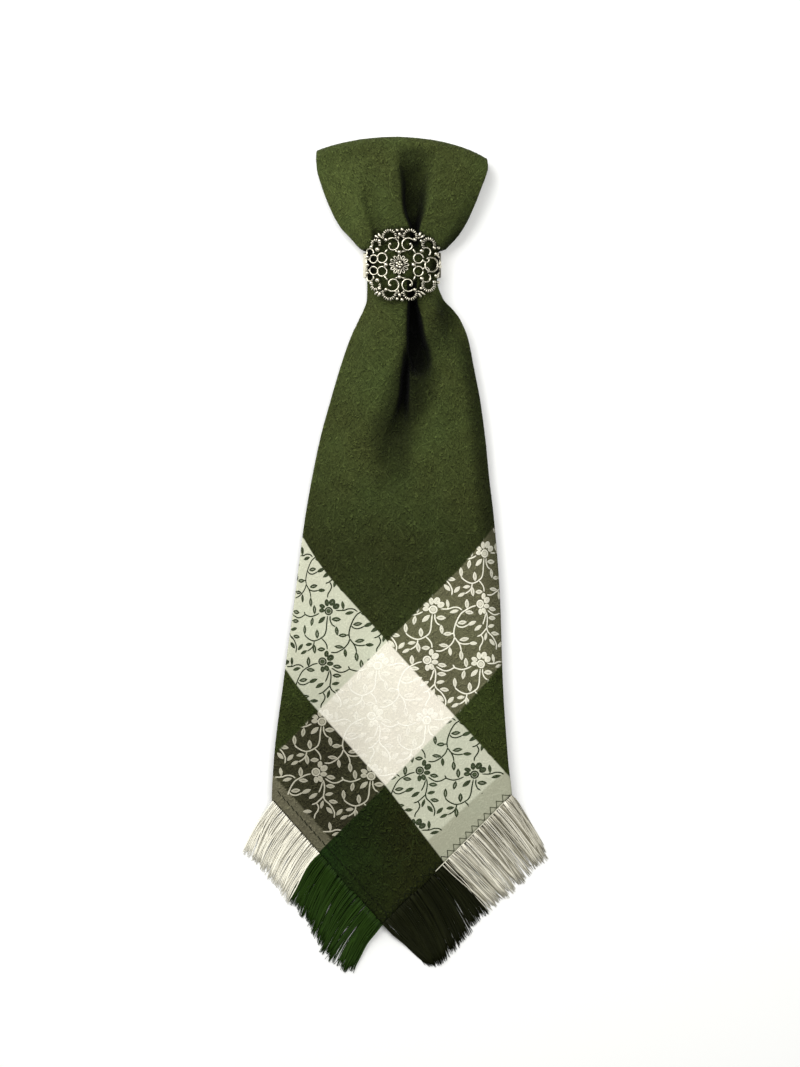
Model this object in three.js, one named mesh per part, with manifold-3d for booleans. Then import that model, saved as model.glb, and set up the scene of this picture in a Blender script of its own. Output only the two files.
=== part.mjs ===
// Neckerchief with a filigree ring, lying on its back. Millimetres.
// +X is to the right and +Y towards the arched top as seen from above, +Z is up off the surface.
// The origin is in the middle of the ring's flat underside, on the surface.
import * as THREE from "three";
import { mergeVertices } from "three/addons/utils/BufferGeometryUtils.js";
import Module from "manifold-3d";

const wasm = await Module();
wasm.setup();

// Cloth sizes
const CLOTH_THICKNESS = 1.0;
const LAYER_STEP = 1.4; // from a leg's face to the flaps folded in behind it
const TOP_MIDDLE = 58.0; // outer edge of the arched top above the ring's centre
const TOP_ARCH = 7.6; // how much lower the top's two corners are
const TOP_TILT = 1.8; // left corner higher, right corner lower
const DOME_POWER = 2.2; // roundness of the bunched cloth across
const FLAP_REACH = 0.8; // share of the half width that a flap covers
const FAN_START = 20; // above this height the rows bend from straight to arched
const TAIL_START = -60; // below this height the rows bend from straight to pointed

// Front leg, from the arched top down to the corner where the pointed hem starts.
// left and right are the outer edges, centre is the line of the main pleat and of the tail's point,
// face is the height of the cloth at its side folds, crown is how much higher the middle stands.
const FRONT_ROWS = [
  { y: 54, left: -38.9, centre: 2.2, right: 39.6, face: 9.3, crown: 0 },
  { y: 44, left: -38.3, centre: 2.2, right: 38.7, face: 9.3, crown: 1.8 },
  { y: 34, left: -35.6, centre: 2.2, right: 35.4, face: 9.2, crown: 3.4 },
  { y: 25, left: -32.0, centre: 2.1, right: 31.8, face: 8.8, crown: 4.2 },
  { y: 17, left: -27.6, centre: 2.0, right: 27.8, face: 8.0, crown: 4.6 },
  { y: 12, left: -23.9, centre: 1.9, right: 24.4, face: 7.2, crown: 4.9 },
  { y: 8.6, left: -20.4, centre: 1.8, right: 21.2, face: 6.5, crown: 5.7 },
  { y: 6.8, left: -15.9, centre: 1.7, right: 15.9, face: 6.0, crown: 6.5 },
  { y: 0, left: -15.6, centre: 1.5, right: 15.6, face: 6.0, crown: 7.0 },
  { y: -7, left: -15.6, centre: 1.6, right: 15.8, face: 6.0, crown: 7.0 },
  { y: -15.3, left: -15.8, centre: 2.0, right: 18.6, face: 6.2, crown: 6.4 },
  { y: -20, left: -17.2, centre: 2.6, right: 22.9, face: 6.3, crown: 5.8 },
  { y: -24.3, left: -19.3, centre: 3.1, right: 26.1, face: 6.2, crown: 5.3 },
  { y: -33.3, left: -23.4, centre: 3.6, right: 29.8, face: 6.0, crown: 4.6 },
  { y: -42.3, left: -26.6, centre: 3.5, right: 31.6, face: 5.8, crown: 4.0 },
  { y: -51.3, left: -29.4, centre: 2.9, right: 33.4, face: 5.6, crown: 3.4 },
  { y: -60.3, left: -32.0, centre: 2.0, right: 35.1, face: 5.4, crown: 2.9 },
  { y: -78.3, left: -36.9, centre: 0.0, right: 37.5, face: 5.1, crown: 2.2 },
  { y: -96.3, left: -40.6, centre: -2.5, right: 39.3, face: 5.0, crown: 1.8 },
  { y: -114.3, left: -43.7, centre: -4.2, right: 41.4, face: 4.9, crown: 1.5 },
  { y: -150.3, left: -48.3, centre: -5.8, right: 44.1, face: 4.8, crown: 1.2 },
  { y: -186.3, left: -53.2, centre: -6.7, right: 45.3, face: 4.8, crown: 1.0 },
  { y: -222.3, left: -57.6, centre: -7.4, right: 47.7, face: 4.8, crown: 0.8 },
  { y: -240.3, left: -58.5, centre: -7.7, right: 49.5, face: 4.6, crown: 0.6 },
  { y: -300, left: -58.5, centre: -8.6, right: 49.5, face: 2.7, crown: 0.2 },
];

// Hidden leg, lying face down under the front one: the same columns, with face the height of its face.
const BACK_ROWS = [
  { y: 54, left: -38.9, centre: 2.2, right: 39.6, face: 0.5 },
  { y: 44, left: -37.6, centre: 2.2, right: 38.0, face: 0.5 },
  { y: 25, left: -30.5, centre: 2.0, right: 30.5, face: 0.5 },
  { y: 14, left: -22.0, centre: 1.8, right: 22.0, face: 0.9 },
  { y: 7.6, left: -13.2, centre: 1.6, right: 13.2, face: 1.9 },
  { y: 0, left: -12.6, centre: 1.5, right: 12.6, face: 1.9 },
  { y: -7.6, left: -13.0, centre: 1.6, right: 13.2, face: 1.9 },
  { y: -14, left: -15.0, centre: 1.8, right: 16.4, face: 0.9 },
  { y: -20, left: -16.4, centre: 2.3, right: 20.6, face: 0.5 },
  { y: -33, left: -22.0, centre: 3.0, right: 28.0, face: 0.5 },
  { y: -60, left: -30.4, centre: 2.0, right: 33.4, face: 0.5 },
  { y: -96, left: -38.4, centre: -2.5, right: 37.0, face: 0.5 },
  { y: -150, left: -45.0, centre: -5.8, right: 41.4, face: 0.5 },
  { y: -250, left: -50.0, centre: -7.4, right: 43.5, face: 0.5 },
];

// Pointed hems: the point and the rise of each hem per millimetre away from it
const FRONT_POINT = { y: -296.6, left_rise: 1.127, right_rise: 1.008 };
const BACK_POINT = { y: -240.0, left_rise: 1.06, right_rise: 1.03 };

// Pleats pressed into the front leg. Each row: height, place across, depth, half width.
const PLEATS = {
  main: [
    { y: 50, x: 2.0, depth: 0, half: 4.0 },
    { y: 43, x: 2.2, depth: 1.6, half: 4.5 },
    { y: 36, x: 2.6, depth: 3.2, half: 4.2 },
    { y: 28, x: 3.0, depth: 4.2, half: 3.8 },
    { y: 18, x: 4.8, depth: 4.8, half: 3.0 },
    { y: 0, x: 3.6, depth: 4.6, half: 2.6 },
    { y: -16, x: 4.6, depth: 4.8, half: 2.6 },
    { y: -24, x: 5.2, depth: 4.8, half: 3.8 },
    { y: -34, x: 6.4, depth: 4.2, half: 5.6 },
    { y: -40, x: 7.2, depth: 3.2, half: 6.8 },
    { y: -50, x: 8.5, depth: 0, half: 6.5 },
  ],
  lower_streak: [
    { y: -36, x: 2.2, depth: 0, half: 2.6 },
    { y: -44, x: 1.7, depth: 2.6, half: 2.8 },
    { y: -54, x: 0.6, depth: 3.0, half: 3.4 },
    { y: -64, x: -1.0, depth: 2.2, half: 4.5 },
    { y: -78, x: -2.2, depth: 1.3, half: 7.0 },
    { y: -98, x: -3.2, depth: 0.6, half: 9.0 },
    { y: -120, x: -4.2, depth: 0, half: 9.0 },
  ],
  soft_left: [
    { y: 46, x: -14.2, depth: 0, half: 4.5 },
    { y: 38, x: -14.3, depth: 0.9, half: 4.5 },
    { y: 30, x: -14.6, depth: 1.9, half: 4.4 },
    { y: 21, x: -12.2, depth: 2.2, half: 4.0 },
    { y: 14, x: -10.4, depth: 1.8, half: 3.6 },
    { y: 4, x: -8.0, depth: 0, half: 3.2 },
  ],
  right_recess: [
    { y: 47, x: 8.0, depth: 0, half: 5.5 },
    { y: 38, x: 8.4, depth: 1.6, half: 5.2 },
    { y: 29, x: 8.4, depth: 2.4, half: 4.6 },
    { y: 20, x: 7.0, depth: 2.0, half: 3.4 },
    { y: 12, x: 6.0, depth: 0.8, half: 2.8 },
    { y: 4, x: 5.4, depth: 0, half: 2.6 },
  ],
  right_shoulder: [
    { y: -10, x: 9.0, depth: 0, half: 3.6 },
    { y: -20, x: 12.6, depth: 1.3, half: 4.2 },
    { y: -32, x: 17.0, depth: 1.0, half: 5.0 },
    { y: -52, x: 21.0, depth: 0, half: 6.0 },
  ],
};

// Share of the half width at each column of the face; the main pleat runs along column 0.
const FACE_COLUMNS = [-1, -0.82, -0.62, -0.44, -0.3, -0.18, -0.08, 0, 0.08, 0.18, 0.3, 0.44, 0.62, 0.82, 1];
const FOLD_STEPS = 3;
const FLAP_STEPS = 1;
const FRONT_POINT_ROWS = 8; // rows from the front leg's pointed hem up to TAIL_START
const BACK_POINT_ROWS = 4;
const FRONT_HEIGHTS = [TAIL_START, -50, -42, -34, -27, -21, -16, -11, -7.2, 0, 6.9, 8.6, 12, 16, FAN_START];
const BACK_HEIGHTS = [TAIL_START, -36, -22, -14.5, -7.4, 7.4, 14, FAN_START];
const FAN_ROWS = 5;
const BEND_ROWS = 5;
const HEM_PASSES = 12; // passes of the search for the height at which the slanting hem meets a column

// Ring sizes: outer height and half width of its oval, radius of its sides, and the band behind
const RING_HEIGHT = 15.6;
const RING_HALF_WIDTH = 17.5;
const RING_SIDE_RADIUS = 6.5;
const BAND_THICKNESS = 1.0;
const BAND_HALF_BACK = 6.2;
const BAND_HALF_FRONT = 5.0;
const BAND_END = 15.0; // distance along the oval from its top at which the band ends
// Shares of the way round from there to the flat underside
const BAND_STATIONS = [0, 0.12, 0.24, 0.38, 0.52, 0.66, 0.8, 0.9, 1];
const WIRE_RADIUS = 0.5;
const WIRE_SIDES = 4;
const BEAD_SIDES = 6;
const BEAD_BANDS = 3;
const LEAF_BANDS = 2;
const ROSETTE_SHIFT = -1.3; // the rosette sits a little to the left

// Scrolls and arcs of the rosette, laid flat: x across the ring, y along the cloth, angles in degrees.
// The radius closes to end_radius towards the end. quarters is how many turned copies there are, and
// mirror adds the mirror image of each.
const ROSETTE_WIRES = [
  { name: "lyre", x: 3.95, y: 9.0, radius: 3.25, end_radius: 1.2, from: 55, sweep: 345, steps: 11,
    quarters: 2, mirror: true },
  { name: "side_lyre", x: 8.6, y: 3.0, radius: 2.2, end_radius: 1.0, from: -30, sweep: 330, steps: 9,
    quarters: 2, mirror: true },
  { name: "crown", x: 5.2, y: 12.6, radius: 3.1, end_radius: 3.1, from: 200, sweep: -215, steps: 7,
    quarters: 2, mirror: true },
  { name: "side_crown", x: 12.2, y: 5.5, radius: 2.2, end_radius: 2.2, from: 216, sweep: -286, steps: 6,
    quarters: 2, mirror: true },
  { name: "scallop", x: 12.8, y: 9.6, radius: 2.7, end_radius: 2.2, from: -105, sweep: 240, steps: 6,
    quarters: 2, mirror: true },
  { name: "side_c", x: 14.2, y: 0, radius: 3.5, end_radius: 3.5, from: -148, sweep: 296, steps: 9,
    quarters: 2, mirror: false },
];
const CURL_POWER = 4; // how late a scroll starts to close

// Straight links of the rosette, the same way
const ROSETTE_LINKS = [
  { name: "lyre_tail", x: 2.6, y: 6.1, to_x: 0.2, to_y: 5.9, quarters: 4, mirror: true },
  { name: "diagonal", x: 5.6, y: 7.4, to_x: 7.1, to_y: 4.5, quarters: 2, mirror: true },
  { name: "trefoil_arm", x: 0.3, y: 13.2, to_x: 2.4, to_y: 12.4, quarters: 2, mirror: true },
  { name: "side_stub", x: 17.2, y: 0, to_x: 18.8, to_y: 0, quarters: 2, mirror: false },
];

// Beads and leaves, the same way; long is the length of a leaf, turned by angle
const ROSETTE_BEADS = [
  { name: "cardinal", x: 0, y: 5.8, radius: 1.2, quarters: 4, mirror: false },
  { name: "trefoil_root", x: 0, y: 13.4, radius: 1.3, quarters: 2, mirror: false },
  { name: "trefoil_leaf", x: 0.9, y: 14.8, radius: 1.1, quarters: 2, mirror: true },
  { name: "lyre_end", x: 4.9, y: 9.8, radius: 0.85, quarters: 2, mirror: true },
  { name: "lyre_open", x: 6.4, y: 11.3, radius: 0.95, quarters: 2, mirror: true },
  { name: "crown_end", x: 8.2, y: 11.6, radius: 1.05, quarters: 2, mirror: true },
  { name: "side_bead", x: 18.4, y: 3.4, radius: 1.0, quarters: 2, mirror: true },
  { name: "side_middle", x: 19.0, y: 0, radius: 1.0, quarters: 2, mirror: false },
];
const ROSETTE_LEAVES = [
  { name: "corner_leaf_a", x: 9.1, y: 12.9, long: 3.8, wide: 1.5, angle: 62, quarters: 2, mirror: true },
  { name: "corner_leaf_b", x: 10.3, y: 12.0, long: 4.4, wide: 1.6, angle: 28, quarters: 2, mirror: true },
];
const DAISY_PETALS = 12;
const PETAL_INNER = 1.2;
const PETAL_OUTER = 5.3;
const PETAL_WIDE = 1.25;
const EYE_RADIUS = 1.9;
const EYE_FLATNESS = 0.5;

// Fringes along the hems. Each row: share along the hem, length of the locks, lean from straight down.
const FRINGE_RUNS = {
  fringe_left_cream: {
    colour: "#d3cfbc",
    from: { x: -58.3, y: -240.6 },
    to: { x: -37.2, y: -264.4 },
    rows: [
      { at: 0, length: 27, lean: -24 },
      { at: 1, length: 27, lean: -21 },
    ],
  },
  fringe_left_green: {
    colour: "#203110",
    from: { x: -36.6, y: -265.0 },
    to: { x: -9.3, y: -295.8 },
    rows: [
      { at: 0, length: 28, lean: -21 },
      { at: 0.5, length: 26, lean: -24 },
      { at: 1, length: 25, lean: -38 },
    ],
  },
  fringe_right_dark: {
    colour: "#14180a",
    from: { x: -7.8, y: -295.8 },
    to: { x: 15.8, y: -271.9 },
    rows: [
      { at: 0, length: 28, lean: 50 },
      { at: 0.5, length: 33, lean: 40 },
      { at: 1, length: 31, lean: 34 },
    ],
  },
  fringe_right_cream: {
    colour: "#bdbaa8",
    from: { x: 16.5, y: -271.2 },
    to: { x: 49.2, y: -238.4 },
    rows: [
      { at: 0, length: 28, lean: 42 },
      { at: 0.5, length: 31, lean: 40 },
      { at: 1, length: 31, lean: 36 },
    ],
  },
};
const BACK_FRINGE_RUNS = {
  fringe_back_left: {
    colour: "#3a431f",
    from: { x: -45, y: -200.6 },
    to: { x: -8.4, y: -239.4 },
    rows: [
      { at: 0, length: 30, lean: 0 },
      { at: 1, length: 30, lean: 0 },
    ],
  },
  fringe_back_right: {
    colour: "#3a431f",
    from: { x: -6.4, y: -239.4 },
    to: { x: 37.6, y: -194.2 },
    rows: [
      { at: 0, length: 30, lean: 0 },
      { at: 1, length: 30, lean: 0 },
    ],
  },
};
const LOCK_PITCH = 3.8;
const BACK_LOCK_PITCH = 5.6;
const LOCK_FILL = 0.8; // share of its pitch that a lock fills
const LOCK_HEIGHT = 1.3;
const LOCK_TIP_HEIGHT = 0.5; // share of that height at a lock's tip
// How much the locks differ in length and sway sideways at the tip; turn is in radians from one to the next
const LOCK_UNEVEN = { share: 0.06, turn: 5.1 };
const LOCK_SWAY = { share: 0.8, turn: 2.4 };
const LOCK_STATIONS = [{ at: 0, width: 1 }, { at: 0.5, width: 0.96 }, { at: 1, width: 0.3 }];
const HEADER_DEPTH = 1.2;
const HEADER_GAP = 0.4; // from the cloth's hem to the header strip
const FLOOR_GAP = 0.02;

const DEGREE = Math.PI / 180;

// Smooth interpolation through table rows

function lookup(rows, key) {
  const sorted = [...rows].sort((a, b) => a.y - b.y);
  const slopes = sorted.map((row, i) => {
    if (i === 0 || i === sorted.length - 1) return 0;
    const before = (row[key] - sorted[i - 1][key]) / (row.y - sorted[i - 1].y);
    const after = (sorted[i + 1][key] - row[key]) / (sorted[i + 1].y - row.y);
    return before * after <= 0 ? 0 : (2 * before * after) / (before + after);
  });
  return (y) => {
    if (y <= sorted[0].y) return sorted[0][key];
    if (y >= sorted.at(-1).y) return sorted.at(-1)[key];
    const i = sorted.findIndex((row) => row.y > y) - 1;
    const span = sorted[i + 1].y - sorted[i].y;
    const t = (y - sorted[i].y) / span;
    const u = 1 - t;
    return (1 + 2 * t) * u * u * sorted[i][key] + t * t * (3 - 2 * t) * sorted[i + 1][key]
      + t * u * span * (u * slopes[i] - t * slopes[i + 1]);
  };
}

function leg(rows, point) {
  const keys = Object.keys(rows[0]).filter((key) => key !== "y");
  const at = Object.fromEntries(keys.map((key) => [key, lookup(rows, key)]));
  return { at, point };
}

const front = leg(FRONT_ROWS, FRONT_POINT);
const back = leg(BACK_ROWS, BACK_POINT);
const pleats = Object.values(PLEATS).map((rows) => ({
  x: lookup(rows, "x"),
  depth: lookup(rows, "depth"),
  half: lookup(rows, "half"),
}));

function pleatDepth(x, y) {
  return pleats.reduce((sum, pleat) => {
    const t = Math.abs(x - pleat.x(y)) / pleat.half(y);
    return t < 1 ? sum + pleat.depth(y) * (1 - t * t) ** 2 : sum;
  }, 0);
}

// Columns across the strip: left flap, left fold, face, right fold, right flap.
// share is the place across the face, turn the angle round a fold, reach how far in a flap has come.

const shares = (count) => Array.from({ length: count }, (_, i) => (i + 1) / count);

function stripColumns() {
  const side = (sign) => {
    const folds = shares(FOLD_STEPS).map((share) => ({ sign, turn: share * Math.PI }));
    const flaps = shares(FLAP_STEPS).map((reach) => ({ sign, turn: Math.PI, reach }));
    return [...folds, ...flaps];
  };
  const face = FACE_COLUMNS.map((share) => ({ sign: Math.sign(share) || 1, share }));
  return [...side(-1).reverse(), ...face, ...side(1)];
}

// Place across, inward offset and distance folded back of a column at height y
function across(strip, column, y) {
  const centre = strip.at.centre(y);
  const edge = column.sign < 0 ? strip.at.left(y) : strip.at.right(y);
  const radius = LAYER_STEP / 2;
  const foldCentre = edge - column.sign * (radius + CLOTH_THICKNESS / 2);
  if (column.share !== undefined) {
    return { x: centre + (foldCentre - centre) * Math.abs(column.share), inward: 0, folded: 0 };
  }
  const folded = (column.reach ?? 0) * FLAP_REACH * Math.abs(foldCentre - centre);
  return {
    x: foldCentre + column.sign * (radius * Math.sin(column.turn) - folded),
    inward: radius * (1 - Math.cos(column.turn)),
    folded,
  };
}

function frontHeight(column, x, y, inward) {
  const centre = front.at.centre(y);
  const edge = x < centre ? front.at.left(y) : front.at.right(y);
  const share = Math.min(1, Math.abs((x - centre) / (edge - centre)));
  const isFace = column.share !== undefined;
  const dome = isFace ? front.at.crown(y) * (1 - share ** DOME_POWER) : 0;
  const valley = isFace ? Math.min(pleatDepth(x, y), dome) : 0;
  return front.at.face(y) + dome - valley - inward;
}

const backHeight = (y, inward) => back.at.face(y) + inward;

// Lowest height of a column, where the pointed hem cuts it
function hemHeight(strip, column) {
  const { point } = strip;
  const rise = column.sign < 0 ? point.left_rise : point.right_rise;
  let y = point.y;
  for (let pass = 0; pass < HEM_PASSES; pass += 1) {
    const place = across(strip, column, y);
    const outward = Math.abs(place.x - strip.at.centre(point.y)) + 2 * place.folded;
    y = point.y + rise * outward;
  }
  return y;
}

// Height of the middle of the bend for a column
function bendHeight(column) {
  const share = column.share ?? column.sign * (1 - (column.reach ?? 0) * FLAP_REACH);
  const outer = TOP_MIDDLE - TOP_ARCH * share * share - TOP_TILT * share;
  return outer - CLOTH_THICKNESS / 2 - (FRONT_ROWS[0].face - BACK_ROWS[0].face) / 2;
}

const mix = (a, b, t) => a + (b - a) * t;
const steps = (count) => Array.from({ length: count }, (_, i) => i / count);

// One column of points, up the front leg, round the arched top and down the hidden leg
function columnPoints(column) {
  const top = bendHeight(column);
  const onFront = (y) => {
    const { x, inward } = across(front, column, y);
    return [x, y, frontHeight(column, x, y, inward)];
  };
  const onBack = (y) => {
    const { x, inward } = across(back, column, y);
    return [x, y, backHeight(y, inward)];
  };
  const frontHem = hemHeight(front, column);
  const backHem = hemHeight(back, column);
  const points = [];
  steps(FRONT_POINT_ROWS).forEach((t) => points.push(onFront(mix(frontHem, TAIL_START, t))));
  FRONT_HEIGHTS.forEach((y) => points.push(onFront(y)));
  steps(FAN_ROWS).slice(1).forEach((t) => points.push(onFront(mix(FAN_START, top, t))));
  const start = onFront(top);
  const end = onBack(top);
  const middle = (start[2] + end[2]) / 2;
  const radius = (start[2] - end[2]) / 2;
  for (let i = 0; i <= BEND_ROWS; i += 1) {
    const angle = (i / BEND_ROWS) * Math.PI;
    points.push([
      mix(start[0], end[0], i / BEND_ROWS),
      top + radius * Math.sin(angle),
      middle + radius * Math.cos(angle),
    ]);
  }
  steps(FAN_ROWS).slice(1).reverse().forEach((t) => points.push(onBack(mix(FAN_START, top, t))));
  [...BACK_HEIGHTS].reverse().forEach((y) => points.push(onBack(y)));
  steps(BACK_POINT_ROWS).reverse().forEach((t) => points.push(onBack(mix(backHem, TAIL_START, t))));
  return points;
}

// A closed wall of even thickness from a grid of points on its middle surface
function thicken(grid, thickness) {
  const wide = grid.length;
  const long = grid[0].length;
  const point = (i, j) => new THREE.Vector3(...grid[i][j]);
  const normal = (i, j) => {
    const alongAcross = point(Math.min(i + 1, wide - 1), j).sub(point(Math.max(i - 1, 0), j));
    const alongLength = point(i, Math.min(j + 1, long - 1)).sub(point(i, Math.max(j - 1, 0)));
    return alongAcross.cross(alongLength).normalize();
  };
  const positions = [];
  [thickness / 2, -thickness / 2].forEach((offset) => {
    for (let i = 0; i < wide; i += 1) {
      for (let j = 0; j < long; j += 1) {
        positions.push(...point(i, j).addScaledVector(normal(i, j), offset).toArray());
      }
    }
  });
  const outer = (i, j) => i * long + j;
  const inner = (i, j) => wide * long + i * long + j;
  const triangles = [];
  const quad = (a, b, c, d) => triangles.push(a, b, c, a, c, d);
  for (let i = 0; i + 1 < wide; i += 1) {
    for (let j = 0; j + 1 < long; j += 1) {
      quad(outer(i, j), outer(i + 1, j), outer(i + 1, j + 1), outer(i, j + 1));
      quad(inner(i, j), inner(i, j + 1), inner(i + 1, j + 1), inner(i + 1, j));
    }
    quad(outer(i, 0), inner(i, 0), inner(i + 1, 0), outer(i + 1, 0));
    quad(outer(i, long - 1), outer(i + 1, long - 1), inner(i + 1, long - 1), inner(i, long - 1));
  }
  for (let j = 0; j + 1 < long; j += 1) {
    quad(outer(0, j), outer(0, j + 1), inner(0, j + 1), inner(0, j));
    quad(outer(wide - 1, j), inner(wide - 1, j), inner(wide - 1, j + 1), outer(wide - 1, j + 1));
  }
  return meshGeometry(positions, triangles);
}

function meshGeometry(positions, triangles) {
  const geometry = new THREE.BufferGeometry();
  geometry.setAttribute("position", new THREE.Float32BufferAttribute(positions, 3));
  geometry.setIndex(triangles);
  return geometry;
}

// Joining closed meshes

function toSolid(geometry) {
  const bare = geometry.clone();
  bare.deleteAttribute("normal");
  bare.deleteAttribute("uv");
  const merged = mergeVertices(bare, 1e-4);
  return new wasm.Manifold(new wasm.Mesh({
    numProp: 3,
    vertProperties: new Float32Array(merged.attributes.position.array),
    triVerts: new Uint32Array(merged.index.array),
  }));
}

function joined(geometries) {
  return geometries.map(toSolid).reduce((whole, next) => whole.add(next));
}

function toGeometry(solid) {
  const mesh = solid.getMesh();
  return meshGeometry(Array.from(mesh.vertProperties), Array.from(mesh.triVerts));
}

// Oval section of the ring: a flat underside, round sides and a shallow arched top

const sideCentre = RING_HALF_WIDTH - RING_SIDE_RADIUS;
const archRadius = (sideCentre ** 2 + (RING_HEIGHT - RING_SIDE_RADIUS) ** 2 - RING_SIDE_RADIUS ** 2)
  / (2 * (RING_HEIGHT - 2 * RING_SIDE_RADIUS));
const archCentre = RING_HEIGHT - archRadius;
const archAngle = Math.atan2(sideCentre, RING_SIDE_RADIUS - archCentre);
const archLength = archRadius * archAngle;
const sideLength = RING_SIDE_RADIUS * (Math.PI - archAngle);
const halfOval = archLength + sideLength + sideCentre;

// Point of the oval at a distance from its top, moved inwards by depth
function ovalPoint(distance, depth) {
  const sign = Math.sign(distance) || 1;
  const along = Math.abs(distance);
  if (along <= archLength) {
    const angle = along / archRadius;
    const radius = archRadius - depth;
    return [sign * radius * Math.sin(angle), archCentre + radius * Math.cos(angle)];
  }
  if (along <= archLength + sideLength) {
    const angle = archAngle + (along - archLength) / RING_SIDE_RADIUS;
    const radius = RING_SIDE_RADIUS - depth;
    return [sign * (sideCentre + radius * Math.sin(angle)), RING_SIDE_RADIUS + radius * Math.cos(angle)];
  }
  return [sign * (halfOval - along), depth];
}

// The plain band, from one side of the rosette round the back to the other
function bandGeometry() {
  const flat = halfOval - sideCentre;
  const side = BAND_STATIONS.map((t) => mix(BAND_END, flat, t));
  const stations = [...side, ...side.map((distance) => 2 * halfOval - distance).reverse()];
  const positions = [];
  const triangles = [];
  stations.forEach((distance, i) => {
    const wrapped = distance > halfOval ? distance - 2 * halfOval : distance;
    const t = Math.min(1, (halfOval - Math.abs(wrapped)) / (halfOval - BAND_END));
    const half = mix(BAND_HALF_BACK, BAND_HALF_FRONT, t ** 3);
    const [outerX, outerZ] = ovalPoint(wrapped, 0);
    const [innerX, innerZ] = ovalPoint(wrapped, BAND_THICKNESS);
    positions.push(outerX, -half, outerZ, outerX, half, outerZ, innerX, half, innerZ, innerX, -half, innerZ);
    if (i === 0) return;
    const from = (i - 1) * 4;
    const to = i * 4;
    for (let side = 0; side < 4; side += 1) {
      const next = (side + 1) % 4;
      triangles.push(from + side, to + next, from + next, from + side, to + side, to + next);
    }
  });
  const last = (stations.length - 1) * 4;
  triangles.push(0, 1, 2, 0, 2, 3, last, last + 2, last + 1, last, last + 3, last + 2);
  return meshGeometry(positions, triangles);
}

// Rosette pieces, laid flat at height 0 and bent over the oval afterwards

function bendOntoOval(geometry) {
  const position = geometry.attributes.position;
  for (let i = 0; i < position.count; i += 1) {
    const depth = WIRE_RADIUS - position.getZ(i);
    const [x, z] = ovalPoint(position.getX(i) + ROSETTE_SHIFT, depth);
    position.setXYZ(i, x, position.getY(i), z);
  }
  return geometry;
}

function wireGeometry(points) {
  const rings = points.map((point, i) => {
    const ahead = points[Math.min(i + 1, points.length - 1)];
    const behind = points[Math.max(i - 1, 0)];
    const side = ahead.clone().sub(behind).normalize().cross(new THREE.Vector3(0, 0, 1));
    return Array.from({ length: WIRE_SIDES }, (_, k) => {
      const angle = ((k + 0.5) / WIRE_SIDES) * 2 * Math.PI;
      return point.clone()
        .addScaledVector(side, WIRE_RADIUS * Math.sin(angle))
        .add(new THREE.Vector3(0, 0, WIRE_RADIUS * Math.cos(angle)));
    });
  });
  const positions = rings.flat().flatMap((vertex) => vertex.toArray());
  const triangles = [];
  for (let i = 0; i + 1 < rings.length; i += 1) {
    for (let k = 0; k < WIRE_SIDES; k += 1) {
      const a = i * WIRE_SIDES + k;
      const b = i * WIRE_SIDES + ((k + 1) % WIRE_SIDES);
      triangles.push(a, b, b + WIRE_SIDES, a, b + WIRE_SIDES, a + WIRE_SIDES);
    }
  }
  const last = (rings.length - 1) * WIRE_SIDES;
  for (let k = 1; k + 1 < WIRE_SIDES; k += 1) {
    triangles.push(0, k + 1, k, last, last + k, last + k + 1);
  }
  return meshGeometry(positions, triangles);
}

function arcPoints({ x, y, radius, end_radius, from, sweep, steps: count }) {
  return Array.from({ length: count + 1 }, (_, i) => {
    const t = i / count;
    const angle = (from + sweep * t) * DEGREE;
    const reach = mix(radius, end_radius, t ** CURL_POWER);
    return new THREE.Vector3(x + reach * Math.cos(angle), y + reach * Math.sin(angle), 0);
  });
}

function beadGeometry({ x, y, radius }) {
  return new THREE.SphereGeometry(radius, BEAD_SIDES, BEAD_BANDS).rotateX(Math.PI / 2).translate(x, y, 0);
}

function leafGeometry({ x, y, long, wide, angle }) {
  return new THREE.SphereGeometry(1, BEAD_SIDES, LEAF_BANDS).rotateX(Math.PI / 2)
    .scale(long / 2, wide / 2, WIRE_RADIUS).rotateZ(angle * DEGREE).translate(x, y, 0);
}

function copies(geometry, { quarters, mirror }) {
  const turn = quarters === 4 ? Math.PI / 2 : Math.PI;
  const mirrored = () => {
    const flipped = geometry.clone().scale(-1, 1, 1);
    const index = flipped.index.array;
    for (let i = 0; i < index.length; i += 3) [index[i], index[i + 1]] = [index[i + 1], index[i]];
    return flipped;
  };
  const sideways = quarters === 2 && mirror;
  const versions = mirror ? [geometry, sideways ? mirrored().rotateZ(Math.PI) : mirrored()] : [geometry];
  const turned = (version) => Array.from({ length: quarters }, (_, i) => version.clone().rotateZ(i * turn));
  return versions.flatMap(turned);
}

function daisyGeometries() {
  const petals = Array.from({ length: DAISY_PETALS }, (_, i) => {
    const angle = (i / DAISY_PETALS) * 360;
    const middle = (PETAL_INNER + PETAL_OUTER) / 2;
    return leafGeometry({
      x: middle * Math.cos(angle * DEGREE),
      y: middle * Math.sin(angle * DEGREE),
      long: PETAL_OUTER - PETAL_INNER,
      wide: PETAL_WIDE,
      angle,
    });
  });
  const eye = new THREE.SphereGeometry(EYE_RADIUS, 8, 4).rotateX(Math.PI / 2).scale(1, 1, EYE_FLATNESS);
  return [...petals, eye];
}

function ringGeometry() {
  const wires = ROSETTE_WIRES.flatMap((row) => copies(wireGeometry(arcPoints(row)), row));
  const links = ROSETTE_LINKS.flatMap((row) => {
    const ends = [new THREE.Vector3(row.x, row.y, 0), new THREE.Vector3(row.to_x, row.to_y, 0)];
    return copies(wireGeometry(ends), row);
  });
  const beads = ROSETTE_BEADS.flatMap((row) => copies(beadGeometry(row), row));
  const leaves = ROSETTE_LEAVES.flatMap((row) => copies(leafGeometry(row), row));
  const flat = [...wires, ...links, ...beads, ...leaves, ...daisyGeometries()];
  return toGeometry(joined([...flat.map(bendOntoOval), bandGeometry()]));
}

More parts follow.
